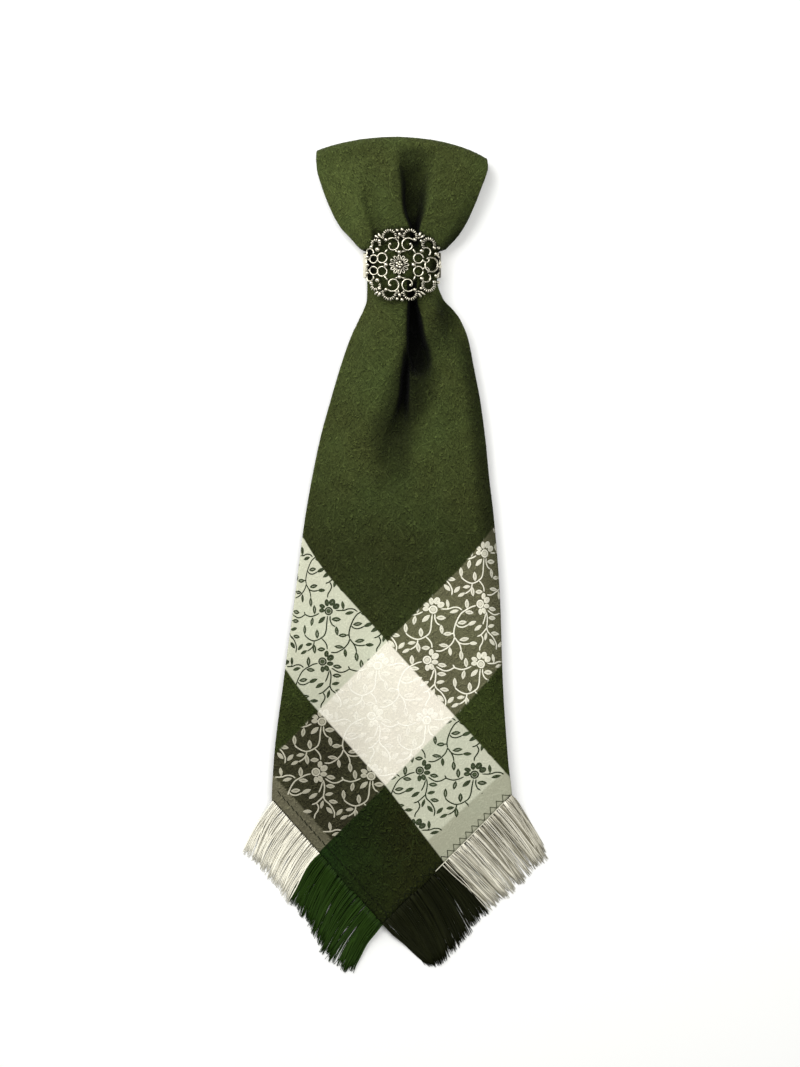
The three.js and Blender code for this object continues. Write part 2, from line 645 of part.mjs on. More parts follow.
// Fringe: a header strip along the hem with tapering locks of thread, one body

function fringeGeometry(run, pitch, heightAt) {
  const rows = run.rows.map((row) => ({ ...row, y: row.at }));
  const lengthAt = lookup(rows, "length");
  const leanAt = lookup(rows, "lean");
  const start = new THREE.Vector2(run.from.x, run.from.y);
  const hem = new THREE.Vector2(run.to.x, run.to.y).sub(start);
  const outward = new THREE.Vector2(hem.y, -hem.x).normalize();
  if (outward.y > 0) outward.negate();
  const onHem = (t, out) => start.clone().addScaledVector(hem, t).addScaledVector(outward, out);
  const count = Math.round(hem.length() / pitch);
  const outline = [onHem(1, HEADER_GAP), onHem(0, HEADER_GAP)];
  for (let i = 0; i < count; i += 1) {
    const t = (i + 0.5) / count;
    const half = (0.5 * LOCK_FILL) / count;
    const length = lengthAt(t) * (1 + LOCK_UNEVEN.share * Math.sin(i * LOCK_UNEVEN.turn));
    const lean = leanAt(t) * DEGREE;
    const along = new THREE.Vector2(Math.sin(lean), -Math.cos(lean)).multiplyScalar(length);
    const sway = LOCK_SWAY.share * Math.sin(i * LOCK_SWAY.turn);
    const edge = (side, { at, width }) => {
      const root = onHem(t + side * half * width + sway * at * half, HEADER_GAP + HEADER_DEPTH);
      return root.addScaledVector(along, at);
    };
    outline.push(...LOCK_STATIONS.map((station) => edge(-1, station)));
    outline.push(...LOCK_STATIONS.map((station) => edge(1, station)).reverse());
  }
  const geometry = new THREE.ExtrudeGeometry(new THREE.Shape(outline), {
    depth: LOCK_HEIGHT,
    bevelEnabled: false,
    steps: 1,
    curveSegments: 1,
  });
  const position = geometry.attributes.position;
  const reach = lengthAt(0.5) * Math.cos(leanAt(0.5) * DEGREE - Math.atan2(outward.x, -outward.y));
  for (let i = 0; i < position.count; i += 1) {
    const point = new THREE.Vector2(position.getX(i), position.getY(i));
    const fromStart = point.clone().sub(start);
    const root = onHem(Math.min(1, Math.max(0, fromStart.dot(hem) / hem.lengthSq())), 0);
    const out = Math.min(1, Math.max(0, fromStart.dot(outward) / reach));
    const low = mix(heightAt(root.x, root.y) - LOCK_HEIGHT / 2, FLOOR_GAP, out * (2 - out));
    const thick = mix(1, LOCK_TIP_HEIGHT, out);
    position.setZ(i, Math.max(FLOOR_GAP, low) + position.getZ(i) * thick);
  }
  return toGeometry(toSolid(geometry));
}

// Assembly

const part = new THREE.Group();

function addPiece(name, geometry, { color, roughness, metalness }) {
  geometry.computeVertexNormals();
  const mesh = new THREE.Mesh(geometry, new THREE.MeshStandardMaterial({ color, roughness, metalness }));
  mesh.name = name;
  part.add(mesh);
}

function addFringes(runs, pitch, heightAt) {
  Object.entries(runs).forEach(([name, run]) => {
    const finish = { color: run.colour, roughness: 0.65, metalness: 0 };
    addPiece(name, fringeGeometry(run, pitch, heightAt), finish);
  });
}

const frontHemHeight = (x, y) => frontHeight({ share: 0 }, x, y, 0);
const backHemHeight = () => LOCK_HEIGHT / 2 + FLOOR_GAP;

addPiece("kerchief", thicken(stripColumns().map(columnPoints), CLOTH_THICKNESS),
  { color: "#454f29", roughness: 0.7, metalness: 0 });
addPiece("scarf_ring", ringGeometry(), { color: "#a9a795", roughness: 0.35, metalness: 1 });
addFringes(FRINGE_RUNS, LOCK_PITCH, frontHemHeight);
addFringes(BACK_FRINGE_RUNS, BACK_LOCK_PITCH, backHemHeight);

export default part;
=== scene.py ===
import math
import random
from functools import partial
from itertools import product

import bpy
import numpy as np
from bpy.props import FloatProperty, FloatVectorProperty, IntProperty, PointerProperty
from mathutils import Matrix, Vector


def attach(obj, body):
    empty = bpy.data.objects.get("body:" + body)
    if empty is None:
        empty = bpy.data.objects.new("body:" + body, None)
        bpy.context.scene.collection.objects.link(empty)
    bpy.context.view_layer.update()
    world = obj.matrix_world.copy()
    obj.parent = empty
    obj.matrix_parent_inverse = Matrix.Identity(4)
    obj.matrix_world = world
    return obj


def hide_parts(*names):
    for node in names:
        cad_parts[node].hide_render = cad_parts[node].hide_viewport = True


bl_info = {
    "name": "Neckerchief with ring",
    "version": (1, 0, 0),
    "blender": (4, 5, 0),
    "location": "3D View > Sidebar > Neckerchief",
    "description": "Builds a fringed jacquard neckerchief drawn through a filigree ring",
    "category": "Object",
}

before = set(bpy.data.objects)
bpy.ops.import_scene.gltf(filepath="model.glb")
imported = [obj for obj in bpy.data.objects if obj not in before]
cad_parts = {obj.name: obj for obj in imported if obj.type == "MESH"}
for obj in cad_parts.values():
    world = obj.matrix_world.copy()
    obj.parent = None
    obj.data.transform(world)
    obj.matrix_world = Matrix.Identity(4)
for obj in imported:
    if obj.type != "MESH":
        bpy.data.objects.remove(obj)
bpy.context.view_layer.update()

MM = 0.001


def linear(code):
    """An sRGB hex colour such as "#a9a795" as linear RGBA."""
    channels = [int(code[i:i + 2], 16) / 255 for i in (1, 3, 5)]
    return tuple(c / 12.92 if c <= 0.04045 else ((c + 0.055) / 1.055) ** 2.4 for c in channels) + (1.0,)


# Tables of the cloth strip, in millimetres, on the outline of the frame's plain solids. left and right
# are the outer edges, centre is the line of the main pleat, face the height of the cloth at its side
# folds and crown how much higher its middle stands.
FRONT_COLUMNS = ("y", "left", "centre", "right", "face", "crown")
FRONT_ROWS = (
    (54, -38.9, 2.2, 39.6, 9.3, 0),
    (44, -38.3, 2.2, 38.7, 9.3, 1.8),
    (34, -35.6, 2.2, 35.4, 9.2, 3.4),
    (25, -32.0, 2.1, 31.8, 8.8, 4.2),
    (17, -27.6, 2.0, 27.8, 8.0, 4.6),
    (12, -22.9, 1.9, 24.2, 7.2, 4.9),
    (8.6, -19.9, 1.8, 20.9, 6.5, 5.7),
    (7.2, -18.4, 1.75, 19.4, 6.2, 6.2),
    (6.3, -16.0, 1.7, 16.0, 6.0, 6.5),
    (0, -15.6, 1.5, 15.6, 6.0, 7.0),
    (-7, -15.6, 1.6, 15.8, 6.0, 7.0),
    (-15.3, -15.8, 2.0, 18.6, 6.2, 6.4),
    (-20, -17.2, 2.6, 22.9, 6.3, 5.8),
    (-24.3, -19.3, 3.1, 26.1, 6.2, 5.3),
    (-33.3, -23.4, 3.6, 29.8, 6.0, 4.6),
    (-42.3, -26.6, 3.5, 31.6, 5.8, 4.0),
    (-51.3, -29.4, 2.9, 33.4, 5.6, 3.4),
    (-60.3, -32.0, 2.0, 35.1, 5.4, 2.9),
    (-78.3, -36.9, 0.0, 37.5, 5.1, 2.2),
    (-96.3, -40.6, -2.5, 39.3, 5.0, 1.8),
    (-114.3, -43.7, -4.2, 41.4, 4.9, 1.5),
    (-150.3, -48.3, -5.8, 44.1, 4.8, 1.2),
    (-186.3, -53.2, -6.7, 45.3, 4.8, 1.0),
    (-222.3, -57.6, -7.4, 47.7, 4.8, 0.8),
    (-240.3, -58.5, -7.7, 49.5, 4.6, 0.6),
    (-300, -58.5, -8.6, 49.5, 2.7, 0.2),
)
BACK_COLUMNS = ("y", "left", "centre", "right", "face")
BACK_ROWS = (
    (54, -38.9, 2.2, 39.6, 0.5),
    (44, -37.6, 2.2, 38.0, 0.5),
    (25, -30.5, 2.0, 30.5, 0.5),
    (14, -22.0, 1.8, 22.0, 0.9),
    (7.6, -13.2, 1.6, 13.2, 1.9),
    (0, -12.6, 1.5, 12.6, 1.9),
    (-7.6, -13.0, 1.6, 13.2, 1.9),
    (-14, -15.0, 1.8, 16.4, 0.9),
    (-20, -16.4, 2.3, 20.6, 0.5),
    (-33, -22.0, 3.0, 28.0, 0.5),
    (-60, -30.4, 2.0, 33.4, 0.5),
    (-96, -38.4, -2.5, 37.0, 0.5),
    (-150, -45.0, -5.8, 41.4, 0.5),
    (-250, -50.0, -7.4, 43.5, 0.5),
)
# Pointed hems: height of the point, and how far each hem rises for a millimetre away from it
FRONT_POINT = {"y": -296.6, "left_rise": 1.127, "right_rise": 1.008}
BACK_POINT = {"y": -240.0, "left_rise": 1.06, "right_rise": 1.03}

# Pleats: deepest line across, depth there, and how far the steep left and the right wall reach
PLEAT_COLUMNS = ("y", "x", "depth", "left_wall", "right_wall")
PLEATS = {
    "main": (
        (54.5, 5.6, 0, 6.0, 8.0), (51, 4.6, 0.6, 6.0, 9.0), (48, 3.6, 1.8, 5.6, 10.6),
        (45, 2.9, 3.6, 5.2, 11.8), (42, 2.5, 5.8, 4.4, 12.2), (37, 2.3, 8.4, 3.4, 12.0),
        (29, 2.0, 9.8, 2.6, 10.8), (24, 2.6, 8.6, 2.4, 9.0), (20, 3.8, 7.8, 2.2, 6.0),
        (16, 5.2, 7.4, 2.0, 3.0), (12, 5.2, 5.6, 2.0, 2.6), (8, 5.0, 2.2, 2.6, 3.0),
        (3, 4.6, 0.7, 3.0, 3.0), (-3, 4.4, 0.6, 3.0, 3.0), (-7, 4.3, 2.4, 2.6, 3.0),
        (-11, 4.2, 6.6, 2.2, 2.6), (-16, 4.2, 9.6, 2.0, 2.9), (-22, 4.0, 9.8, 2.2, 5.0),
        (-34, 4.0, 9.8, 2.4, 8.0), (-39, 4.2, 9.2, 2.8, 9.8), (-43, 5.4, 8.0, 3.4, 9.4),
        (-47, 6.6, 5.0, 4.0, 7.4), (-52, 7.6, 0, 5.0, 6.0),
    ),
    "lower_streak": (
        (-36, 2.2, 0, 2.0, 2.5), (-42, 1.9, 5.6, 2.2, 3.0), (-50, 1.3, 6.4, 2.6, 2.9),
        (-58, 0.8, 6.2, 2.8, 3.2), (-64, 0.0, 4.8, 3.8, 4.4), (-72, -1.0, 3.2, 6.0, 6.5),
        (-86, -2.4, 1.6, 9.5, 9.0), (-104, -3.2, 0.6, 11.0, 11.0), (-128, -4.4, 0, 11.0, 11.0),
    ),
    "soft_left": (
        (48, -13.4, 0, 5.0, 6.0), (38, -14.2, 1.0, 5.0, 6.5), (30, -14.0, 2.0, 4.6, 6.5),
        (21, -12.4, 2.5, 4.2, 5.6), (14, -10.8, 2.3, 3.6, 4.6), (4, -8.4, 0, 2.4, 3.0),
    ),
    "right_shoulder": (
        (-13, 15.0, 0, 2.6, 3.0), (-19, 18.4, 1.8, 3.4, 3.4), (-25, 20.4, 2.0, 4.0, 4.6),
        (-34, 22.0, 1.2, 5.0, 6.0), (-50, 24.0, 0, 6.0, 6.5),
    ),
}
# How flat the floor of a pleat is towards its left and its right wall; 2 is a round hollow
PLEAT_FLATNESS = {
    "main": (2.8, 4.2), "lower_streak": (2.4, 2.4), "soft_left": (2, 2), "right_shoulder": (2, 2),
}
# Soft shade and light painted into the colour of the front leg: painted shade where the cloth leans in
# beside its pleats, turns down at its right-hand fold and lies towards the lower left, and painted light
# (below 0) where the cloth leans to the light, on the upper right of the cream square and where it gets
# light through the openwork. Columns: middle line across, share of the light painted away there, and its
# reach to the left and to the right
SHADE_COLUMNS = ("y", "x", "share", "left_reach", "right_reach")
SHADES = {
    "fan_hollow": (
        (55, 5.0, 0, 8, 10), (50, 5.0, 0.5, 9, 11), (44, 4.0, 0.5, 9, 12), (36, 2.5, 0.3, 9, 12),
        (28, 2.5, 0.2, 9, 11), (22, 5.0, 0.15, 9, 9), (13, 6.0, 0, 6, 6),
    ),
    "fan_left": (
        (52, -34.0, 0, 10, 16), (44, -32.0, -0.22, 10, 18), (30, -28.0, -0.32, 8, 15),
        (20, -25.0, -0.34, 8, 13), (11, -20.0, -0.25, 6, 9), (5, -17.0, 0, 5, 6),
    ),
    "fan_right": (
        (40, 37.0, 0, 8, 6), (28, 34.0, 0.3, 9, 6), (18, 30.0, 0.6, 9, 6), (12, 25.5, 0.8, 8, 6),
        (8, 21.0, 0.7, 6, 5), (4, 17.0, 0, 4, 4),
    ),
    "through_ring": (
        (-15, 1.5, 0, 14, 14), (-10, 1.5, -0.6, 17, 17), (0, 1.5, -0.75, 18, 18),
        (10, 1.5, -0.6, 17, 17), (15, 1.5, 0, 14, 14),
    ),
    "lower_left": (
        (-165, -42.0, 0, 20, 22), (-195, -38.0, 0.16, 22, 28), (-220, -36.0, 0.22, 24, 32),
        (-245, -32.0, 0.2, 24, 32), (-275, -28.0, 0, 20, 20),
    ),
    "cream_upper_right": (
        (-158, -12.0, 0, 10, 8), (-170, -8.0, -0.06, 12, 10), (-186, 5.0, -0.09, 16, 10),
        (-200, 15.0, -0.09, 16, 10), (-215, 16.0, 0, 12, 10),
    ),
    "wedge": (
        (-8, 4.5, 0, 3, 4), (-19, 5.2, 0.75, 4.6, 4.4), (-24, 5.2, 0.88, 5.4, 5.4),
        (-30, 5.4, 0.95, 6.4, 6.4), (-35, 6.2, 0.96, 8, 8), (-40.5, 6.6, 0.95, 10.5, 10),
        (-46, 6.4, 0.92, 13, 11.5), (-51, 5.6, 0.8, 15, 13), (-57, 4.5, 0.74, 16, 14.5),
        (-62, 2.8, 0.72, 16, 14), (-67.5, 0.2, 0.7, 16, 14), (-74, -3.0, 0.68, 15, 13),
        (-87, -3.2, 0.52, 14, 12), (-100, -3.2, 0.15, 13, 12), (-110, -3.2, 0, 12, 12),
    ),
    "right_shoulder": (
        (-11, 17.0, 0, 5, 8), (-19, 19.5, 0.7, 6, 8), (-24, 19.0, 0.62, 8, 10), (-30, 17.0, 0.5, 8, 11),
        (-36, 16.0, 0.3, 8, 12), (-43, 15.0, 0, 8, 10),
    ),
    "right_fold": (
        (-24, 27.0, 0, 6, 6), (-40, 31.0, 0.6, 8, 6), (-60, 35.5, 0.65, 9, 6), (-96, 40.0, 0.68, 10, 6),
        (-114, 42.0, 0.6, 10, 6), (-150, 44.5, 0.35, 9, 6), (-186, 46.0, 0.25, 8, 6),
        (-215, 47.5, 0, 6, 6),
    ),
}
SHADE_FLATNESS = 3  # how flat the middle of a soft shade is
CLOTH = 0.5  # thickness of the cloth
FRAME_CLOTH = 1.0  # thickness of the plain solid that stands for the cloth in the frame
PLEAT_FLOOR = 2.6  # lowest that a pleat reaches between the two flaps behind it
LAYER_STEP = 1.4  # from a leg's face to the flaps folded in behind it
FLAP_REACH = 0.8  # share of a leg's half width that the flap behind it covers
FLAP_EASE = 0.1  # share of the half width over which a pleat deepens between the flaps
DOME_POWER = 2.2  # how flat the crown of the cloth is
# The arched top: height of its middle, how far its sides fall below that, and its tilt to the right
TOP_MIDDLE = 58.0
TOP_ARCH = 7.6
TOP_TILT = 1.8
FACE = FRONT_COLUMNS.index("face")
BEND_RADIUS = (FRONT_ROWS[0][FACE] - BACK_ROWS[0][FACE]) / 2  # round the top, from leg to leg

# The woven check. Places on the cloth are counted from the virtual corner of its border, across (a)
# and along (b) the neckerchief; u runs up the left-hand hem and v up the right-hand hem.
TIP_X = -8.3
TIP_Y = -298.4
BAND = 45.0  # width of one border band of the check
BAND_EDGE = 0.002  # half the soft edge between two bands, as a share of three bands
U_STEP = (-30.2, 33.5)  # one band along u, as a step across and along
V_STEP = (31.05, 31.3)
CORNER_PULL = 4.6  # how far the corner's right-hand line has been pulled inwards
# Towards its side folds the weave is drawn outwards: how far to the left and to the right, from which
# column on, and the heights between which this grows
ROLL = {"left": 4.0, "right": 3.3, "start": 0.6, "none_below": -208.0, "full_above": -160.0}
HEM_LEFT = 9.9  # width of the plain woven strip along the left-hand hem
HEM_RIGHT = 11.6

# The vine repeat, charted in squares of 0.45 mm, from the middle of a round flower with its
# petals upwards. U_REPEAT and V_REPEAT are its repeat as charted, CELL_U and CELL_V on the cloth, where
# it starts at CELL_START. SIDE_FLOWER is the place of its second flower.
U_REPEAT = (-46.5, 60.0)
V_REPEAT = (59.7, 57.0)
CELL_U = 32.9
CELL_V = 36.2
CELL_START = (19.6, 43.0)
SIDE_FLOWER = (50.5, 3.8)

# Stems from the upright flower: points of each line
UPRIGHT_STEMS = (
    ((-1.2, -5.0), (-2.7, -13.9), (-3.5, -19.8), (-5.5, -25.1), (-9.1, -28.0), (-13.2, -30.1),
     (-18.0, -30.9), (-23.0, -29.1), (-27.3, -25.9), (-29.0, -23.6)),
    ((-17.2, -31.0), (-18.4, -35.4), (-21.2, -38.9), (-26.0, -41.6)),
    ((-9.1, -28.5), (-5.9, -32.0), (-3.8, -36.1), (-3.5, -40.5)),
    ((1.5, -5.0), (1.2, -9.7), (2.9, -14.4), (5.9, -16.9)),
    ((7.6, 0.3), (15.3, 0.0), (20.5, 1.5), (25.8, 0.9), (29.3, -1.8)),
    ((45.2, 2.1), (40.5, 1.2), (35.2, -1.2), (29.3, -4.4), (25.8, -8.5), (23.5, -12.6),
     (21.4, -17.3), (20.0, -22.0), (19.4, -26.1), (20.0, -30.2)),
    ((20.0, -30.2), (18.2, -34.9), (14.7, -39.0), (10.6, -42.0), (5.3, -44.3), (0.0, -43.9)),
    ((20.0, -30.2), (22.9, -34.9), (26.4, -37.3), (31.1, -38.1), (35.6, -37.6)),
    ((22.9, -34.9), (25.2, -39.6), (26.1, -45.2)),
    ((22.6, -16.7), (24.6, -19.1), (28.8, -20.0), (32.9, -18.8), (35.0, -17.7)),
    ((19.4, -26.1), (17.0, -26.4)),
    ((14.2, 1.2), (15.3, 0.0)),
    ((8.5, -21.8), (7.3, -20.0)),
)
# Stems from the flower that lies on its side, counted from that flower
SIDE_STEMS = (
    ((9.0, -7.3), (12.8, -10.2), (16.8, -12.2), (21.7, -11.9), (26.9, -9.4), (28.7, -10.0),
     (34.3, -11.7), (39.9, -10.8), (45.0, -8.7)),
    ((27.4, -9.4), (25.9, -6.2)),
    ((7.0, -8.8), (7.9, -14.9), (7.1, -21.8), (6.3, -25.8), (7.6, -30.3), (11.8, -34.5),
     (14.9, -39.4), (16.4, -44.4), (15.6, -49.3)),
    ((6.3, -25.8), (2.6, -29.4), (-1.8, -33.0), (-5.9, -34.3)),
    ((-1.2, -32.8), (0.6, -37.4), (-0.8, -41.6), (-3.6, -45.6), (-4.3, -49.4)),
    ((6.2, -10.6), (4.1, -17.0), (1.8, -21.7)),
)
# Leaves: middle across and up, direction in degrees, half length, half width, and 1 where a slit shows
UPRIGHT_LEAVES = (
    (-29.0, -18.5, 90, 5.0, 1.9, 1), (-13.8, -23.8, 90, 4.8, 2.2, 1), (-30.0, -42.5, 24, 4.2, 1.7, 0),
    (-23.8, -34.4, 6, 4.0, 1.8, 0), (-17.4, -39.6, 94, 5.0, 2.1, 1), (-9.8, -40.3, 0, 4.2, 2.2, 1),
    (7.3, -21.4, 94, 4.8, 1.9, 1), (7.4, -9.1, -4, 4.7, 2.4, 1), (-7.9, -9.1, 40, 5.2, 2.2, 0),
    (-16.2, 2.2, 92, 4.9, 2.1, 1), (-19.6, -10.5, 77, 4.6, 2.0, 1), (39.6, -37.6, -2, 4.3, 1.9, 0),
    (29.9, -32.9, 7, 5.0, 2.1, 1), (25.8, -49.8, 92, 4.9, 2.1, 1), (8.5, -38.4, -9, 4.7, 1.9, 1),
    (14.6, -45.2, 93, 4.4, 1.8, 0), (15.0, 5.6, 95, 4.4, 1.7, 0), (21.1, -2.9, 12, 4.6, 1.8, 0),
    (35.1, 4.4, 88, 5.0, 2.2, 1), (37.3, -4.6, -8, 4.6, 2.1, 1), (28.8, -15.0, 5, 4.7, 2.1, 1),
    (39.6, -16.2, 20, 5.0, 2.0, 0), (13.2, -26.4, 0, 4.4, 2.1, 1),
)
SIDE_LEAVES = (
    (14.9, -6.1, -12, 4.5, 2.2, 1), (13.9, -15.6, -6, 4.5, 2.2, 1), (12.1, -24.0, 10, 4.1, 1.8, 0),
    (15.8, -32.2, -12, 4.5, 2.1, 1), (21.4, -43.6, 44, 4.4, 2.0, 0), (11.4, -41.2, 130, 4.4, 2.0, 0),
    (4.2, -34.8, 72, 4.4, 1.6, 0), (-4.2, -25.2, 30, 5.0, 2.0, 0),
)
# Petals: middle across and up, direction in degrees, half length and half width
UPRIGHT_PETALS = (
    (-7.4, 1.0, 2, 3.3, 2.4), (-6.8, 5.5, 158, 3.5, 2.3), (-1.4, 8.9, 94, 3.9, 2.5),
    (4.3, 9.1, 62, 3.9, 3.3), (8.1, 4.7, 28, 3.8, 3.1),
)
SIDE_PETALS = (
    (4.6, 8.0, 78, 3.5, 2.4), (8.4, 3.6, 32, 4.0, 3.2), (7.7, -2.6, -3, 3.5, 2.4),
    (4.0, -7.3, -66, 3.5, 2.5), (-0.3, -8.2, 88, 3.4, 2.3),
)
EYE_RING = 3.7  # middle line of the round eye of a flower, in chart squares
EYE_RING_HALF = 0.8
EYE_MIDDLE = (2.5, 1.5)  # edge and crown of the eye inside its ring
EYE_POINTS = 14
LEAF_POINTS = 12
STEM_HALF = 0.7
STEM_END = 0.5  # width of its two ends, as a share of its middle
# Length and width of each loop of a leaf and of a petal, from the edge inwards, as shares of the whole
LEAF_LOOPS = ((1.04, 1.06), (0.8, 0.6))
PETAL_LOOPS = ((1.0, 1.0), (0.68, 0.6), (0.36, 0.04))
LEAF_ROUNDNESS = 0.15
PETAL_ROUNDNESS = 0.9
SLITS = {True: (0.55, 0.13), False: (0.5, 0.1)}  # length and width of a leaf's middle, open or closed
VINE_EDGE = 0.01  # height of a vine's edges over the ground, in millimetres
INTO_HEM = (1.2, 1.0)  # how far a stem may run into the left-hand and the right-hand hem
CELLS = range(-7, 16)  # repeats of the vines that are tried along u and along v
VINE_REACH = {"front": 372.0, "back": 300.0, "across": 75.0}  # farthest from the tip, and across
# Last column of each leg and last share of the bend where vines are woven
LAST_VINES = {"front": 2.15, "back": 1.6, "bend": 0.98}

# Mesh of the cloth: rows up the front tail, through the ring, up the fan, round the bend, and down the
# hidden leg; the heights between these; and steps round each side fold and over each flap
CLOTH_ROWS = {"tail": 78, "ring": 78, "fan": 26, "bend": 12, "back_fan": 12, "back_ring": 34, "back_tail": 34}
TAIL_START = -60.0
FAN_START = 20.0
FOLD_STEPS = 8
FLAP_STEPS = 10

# Grid on which the cloth of each leg is measured: columns over the face, step between its heights,
# farthest place across, and the height under the arched top from which the search for a column starts
FACE_SAMPLES = 161
HEIGHT_STEP = 2.0
WIDEST = 130
FIRST_HEIGHT = 45.0

# Sewing on the front hems: places along a hem from its point and inside its edge, radius of the thread
# and its height over the cloth
RUNNING_STITCH = {
    "count": 25, "first": 2.2, "pitch": 3.0, "points": ((0, 4.5), (1.2, 4.7), (2.4, 4.9)),
    "radius": 0.16, "lift": 0.05,
}
ZIGZAG = {
    "count": 42, "first": 1.5, "pitch": 1.95, "sides": (3.3, 0.9), "lighter_past": BAND - 2,
    "radius": 0.15, "lift": 0.05,
}
EDGE_CORD = {"count": 38, "first": 34.0, "pitch": 1.2, "inside": 0.35, "radius": 0.22, "lift": 0.06}

# Fringes along the hems. Threads: how many degrees their locks spread, how dense they lie and how deep
# they are dyed. Runs: their two ends, then rows of share along them, length of the threads and their lean.
CREAM_THREADS = {"slot": "cream_fringe", "spread": 1.8, "dense": 1.0}
GREEN_THREADS = {"slot": "green_fringe", "spread": 0.9, "dense": 1.6, "deep": 0.6}
DARK_THREADS = {"slot": "dark_fringe", "spread": 0.7, "dense": 1.9, "deep": 0.6}
FRINGE_COLUMNS = ("share", "length", "lean")
FRINGE_RUNS = {
    "fringe_left_cream": {
        **CREAM_THREADS, "deep": 0.2, "from": (-58.3, -240.6), "to": (-37.0, -264.6),
        "rows": ((0, 26.5, -28), (0.5, 26, -30), (1, 26, -32)),
    },
    "fringe_left_green": {
        **GREEN_THREADS, "from": (-37.6, -263.8), "to": (-9.0, -296.2),
        "rows": (
            (0, 26, -31), (0.25, 26.5, -27), (0.5, 29, -29), (0.78, 28.5, -37), (0.84, 29, -28),
            (1, 25.5, -32),
        ),
    },
    "fringe_right_dark": {
        **DARK_THREADS, "from": (-8.6, -296.2), "to": (20.6, -267.2),
        "rows": ((0, 28, 48), (0.25, 31, 33), (0.5, 33, 28), (1, 30, 37)),
    },
    "fringe_right_cream": {
        **CREAM_THREADS, "deep": 1.15, "from": (18.4, -269.4), "to": (49.4, -238.2),
        "rows": ((0, 29.4, 43), (0.35, 31, 42), (0.7, 31, 39), (1, 30.5, 35)),
    },
    "fringe_back_left": {
        **GREEN_THREADS, "from": (-45, -200.6), "to": (-8.4, -239.4), "rows": ((0, 30, 0), (1, 30, 0)),
    },
    "fringe_back_right": {
        **GREEN_THREADS, "from": (-6.4, -239.4), "to": (37.6, -194.2), "rows": ((0, 30, 0), (1, 30, 0)),
    },
}
FIRST_SEED = 11
BACK_HEM_HEIGHT = 0.65
ROOT_INSIDE = 0.3  # how far inside the hem a thread starts
ROOT_BELOW = 0.4  # how far below the face of the hem it starts
TIP_HEIGHT = 0.1
LOCK_REACH = 0.62  # to either side, in lock pitches
LOCK_LENGTHS = (1.0, 0.025)  # mean and spread
LOCK_BENDS = (0.46, 0.05)  # where a lock turns down, as a share of its length: mean and spread
LOCK_NARROWING = ((0, 0.15, 0.6, 1), (1.0, 0.97, 0.8, 0.92))  # width along a lock
THREAD_TAPER = ((0, 0.85, 1), (1, 0.9, 0.4))  # radius along a thread
THREAD_LENGTHS = (0.9, 1.02)
THREAD_WAVE = 0.3
THREAD_STEPS = 8
THREAD_SIDES = 6
LEAN_SPREAD = (0.6, 0.4)  # of a thread: its own degrees, and for each degree that its locks spread
KNEE_WAY = (0.6, 0.4)  # how far a thread runs outwards and along its lean before it turns down
UNDER_SHARE = 0.35  # share of the threads that lie below the locks and close their gaps
UNDER_LAYER = (-0.7, -0.3)  # lowest and highest, from the middle of a lock
UPPER_LAYER = (-0.3, 0.8)
TIP_LAYER = 0.6  # share of its height in the lock that a thread keeps at its tip
# How deep a thread is dyed: by its lock and by itself; the threads below the locks also get a painted shade
# that fills the gaps
LOCK_SHADE = 0.4
OWN_SHADE = 0.7
UNDER_PAINTED_SHADE = 0.5
UNDER_DYE = 0.2
STRAY_SHARE = 0.05
STRAY_LEAN = 4  # degrees

# Ring sizes
RING_HEIGHT = 15.6
RING_HALF_WIDTH = 17.5
RING_SIDE_RADIUS = 6.5
BAND_THICKNESS = 1.0
BAND_SOFT_EDGE = 0.22
BAND_STEPS = 24
BAND_HALF_BACK = 6.2
BAND_HALF_FRONT = 5.0
BAND_END_LEFT = 17.0  # where the plain band stops, along the oval from its top
BAND_END_RIGHT = 21.4

# The rosette as it is seen from above, in millimetres from its daisy. Rows marked 1 have a mirror
# image on the other side of the line across the ring.
ROSETTE_SHIFT = -1.25
ROSETTE_DEPTH = 0.5
CURL_POWER = 3  # how late along its line a scroll curls in
SCROLL_STEPS = 32
CROWN_STEPS = 40
WIRE_SIDES = 8
CROWN_WIRE = 0.42
LINK_WIRE = 0.4
BEAD_HEIGHT = 0.25  # how far the middle of a bead stands over the wires
RIB_SHAPE = (0.95, 0.4, 0.75)  # along the radius, along the wire and upwards
RIB_SIZE = (0.75, 0.3)  # at the ends of a crown, and what is added to it in the middle
LEAF_HEIGHT = 0.15
LEAF_HALF_THICK = 0.6
SCROLL_COLUMNS = ("x", "y", "radius", "end_radius", "start", "sweep", "wire", "mirror")
ROSETTE_SCROLLS = {
    "lyre_right": (4.1, 9.0, 2.95, 1.1, 42, 352, 0.40, 1),
    "lyre_left": (-3.1, 9.0, 2.95, 1.1, 138, -352, 0.40, 1),
    "eye_right": (8.7, 2.9, 2.15, 2.15, 0, 350, 0.38, 1),
    "eye_left": (-7.8, 3.0, 2.15, 2.15, 180, 350, 0.38, 1),
    "side_c": (14.4, 0.0, 3.3, 2.5, 128, -330, 0.44, 0),
    "side_c_root": (12.2, 2.6, 1.5, 1.0, -150, 200, 0.36, 1),
    "scroll_right": (12.2, 5.6, 2.1, 1.8, 168, -215, 0.44, 1),
    "left_eye": (-11.6, 2.5, 1.9, 1.5, 0, 340, 0.36, 1),
    "left_scroll": (-13.4, 5.6, 1.7, 1.4, -20, 230, 0.40, 1),
}
CROWN_COLUMNS = ("x", "y", "radius", "start", "sweep", "mirror")
ROSETTE_CROWNS = {
    "crown_right": (4.9, 12.6, 2.9, 200, -222, 1),
    "crown_left": (-4.4, 12.5, 2.9, -20, 222, 1),
    "corner_right": (13.2, 9.0, 2.7, 218, -250, 1),
    "corner_left": (-10.5, 9.3, 1.8, -30, 240, 1),
}
BEAD_COLUMNS = ("x", "y", "radius", "mirror")
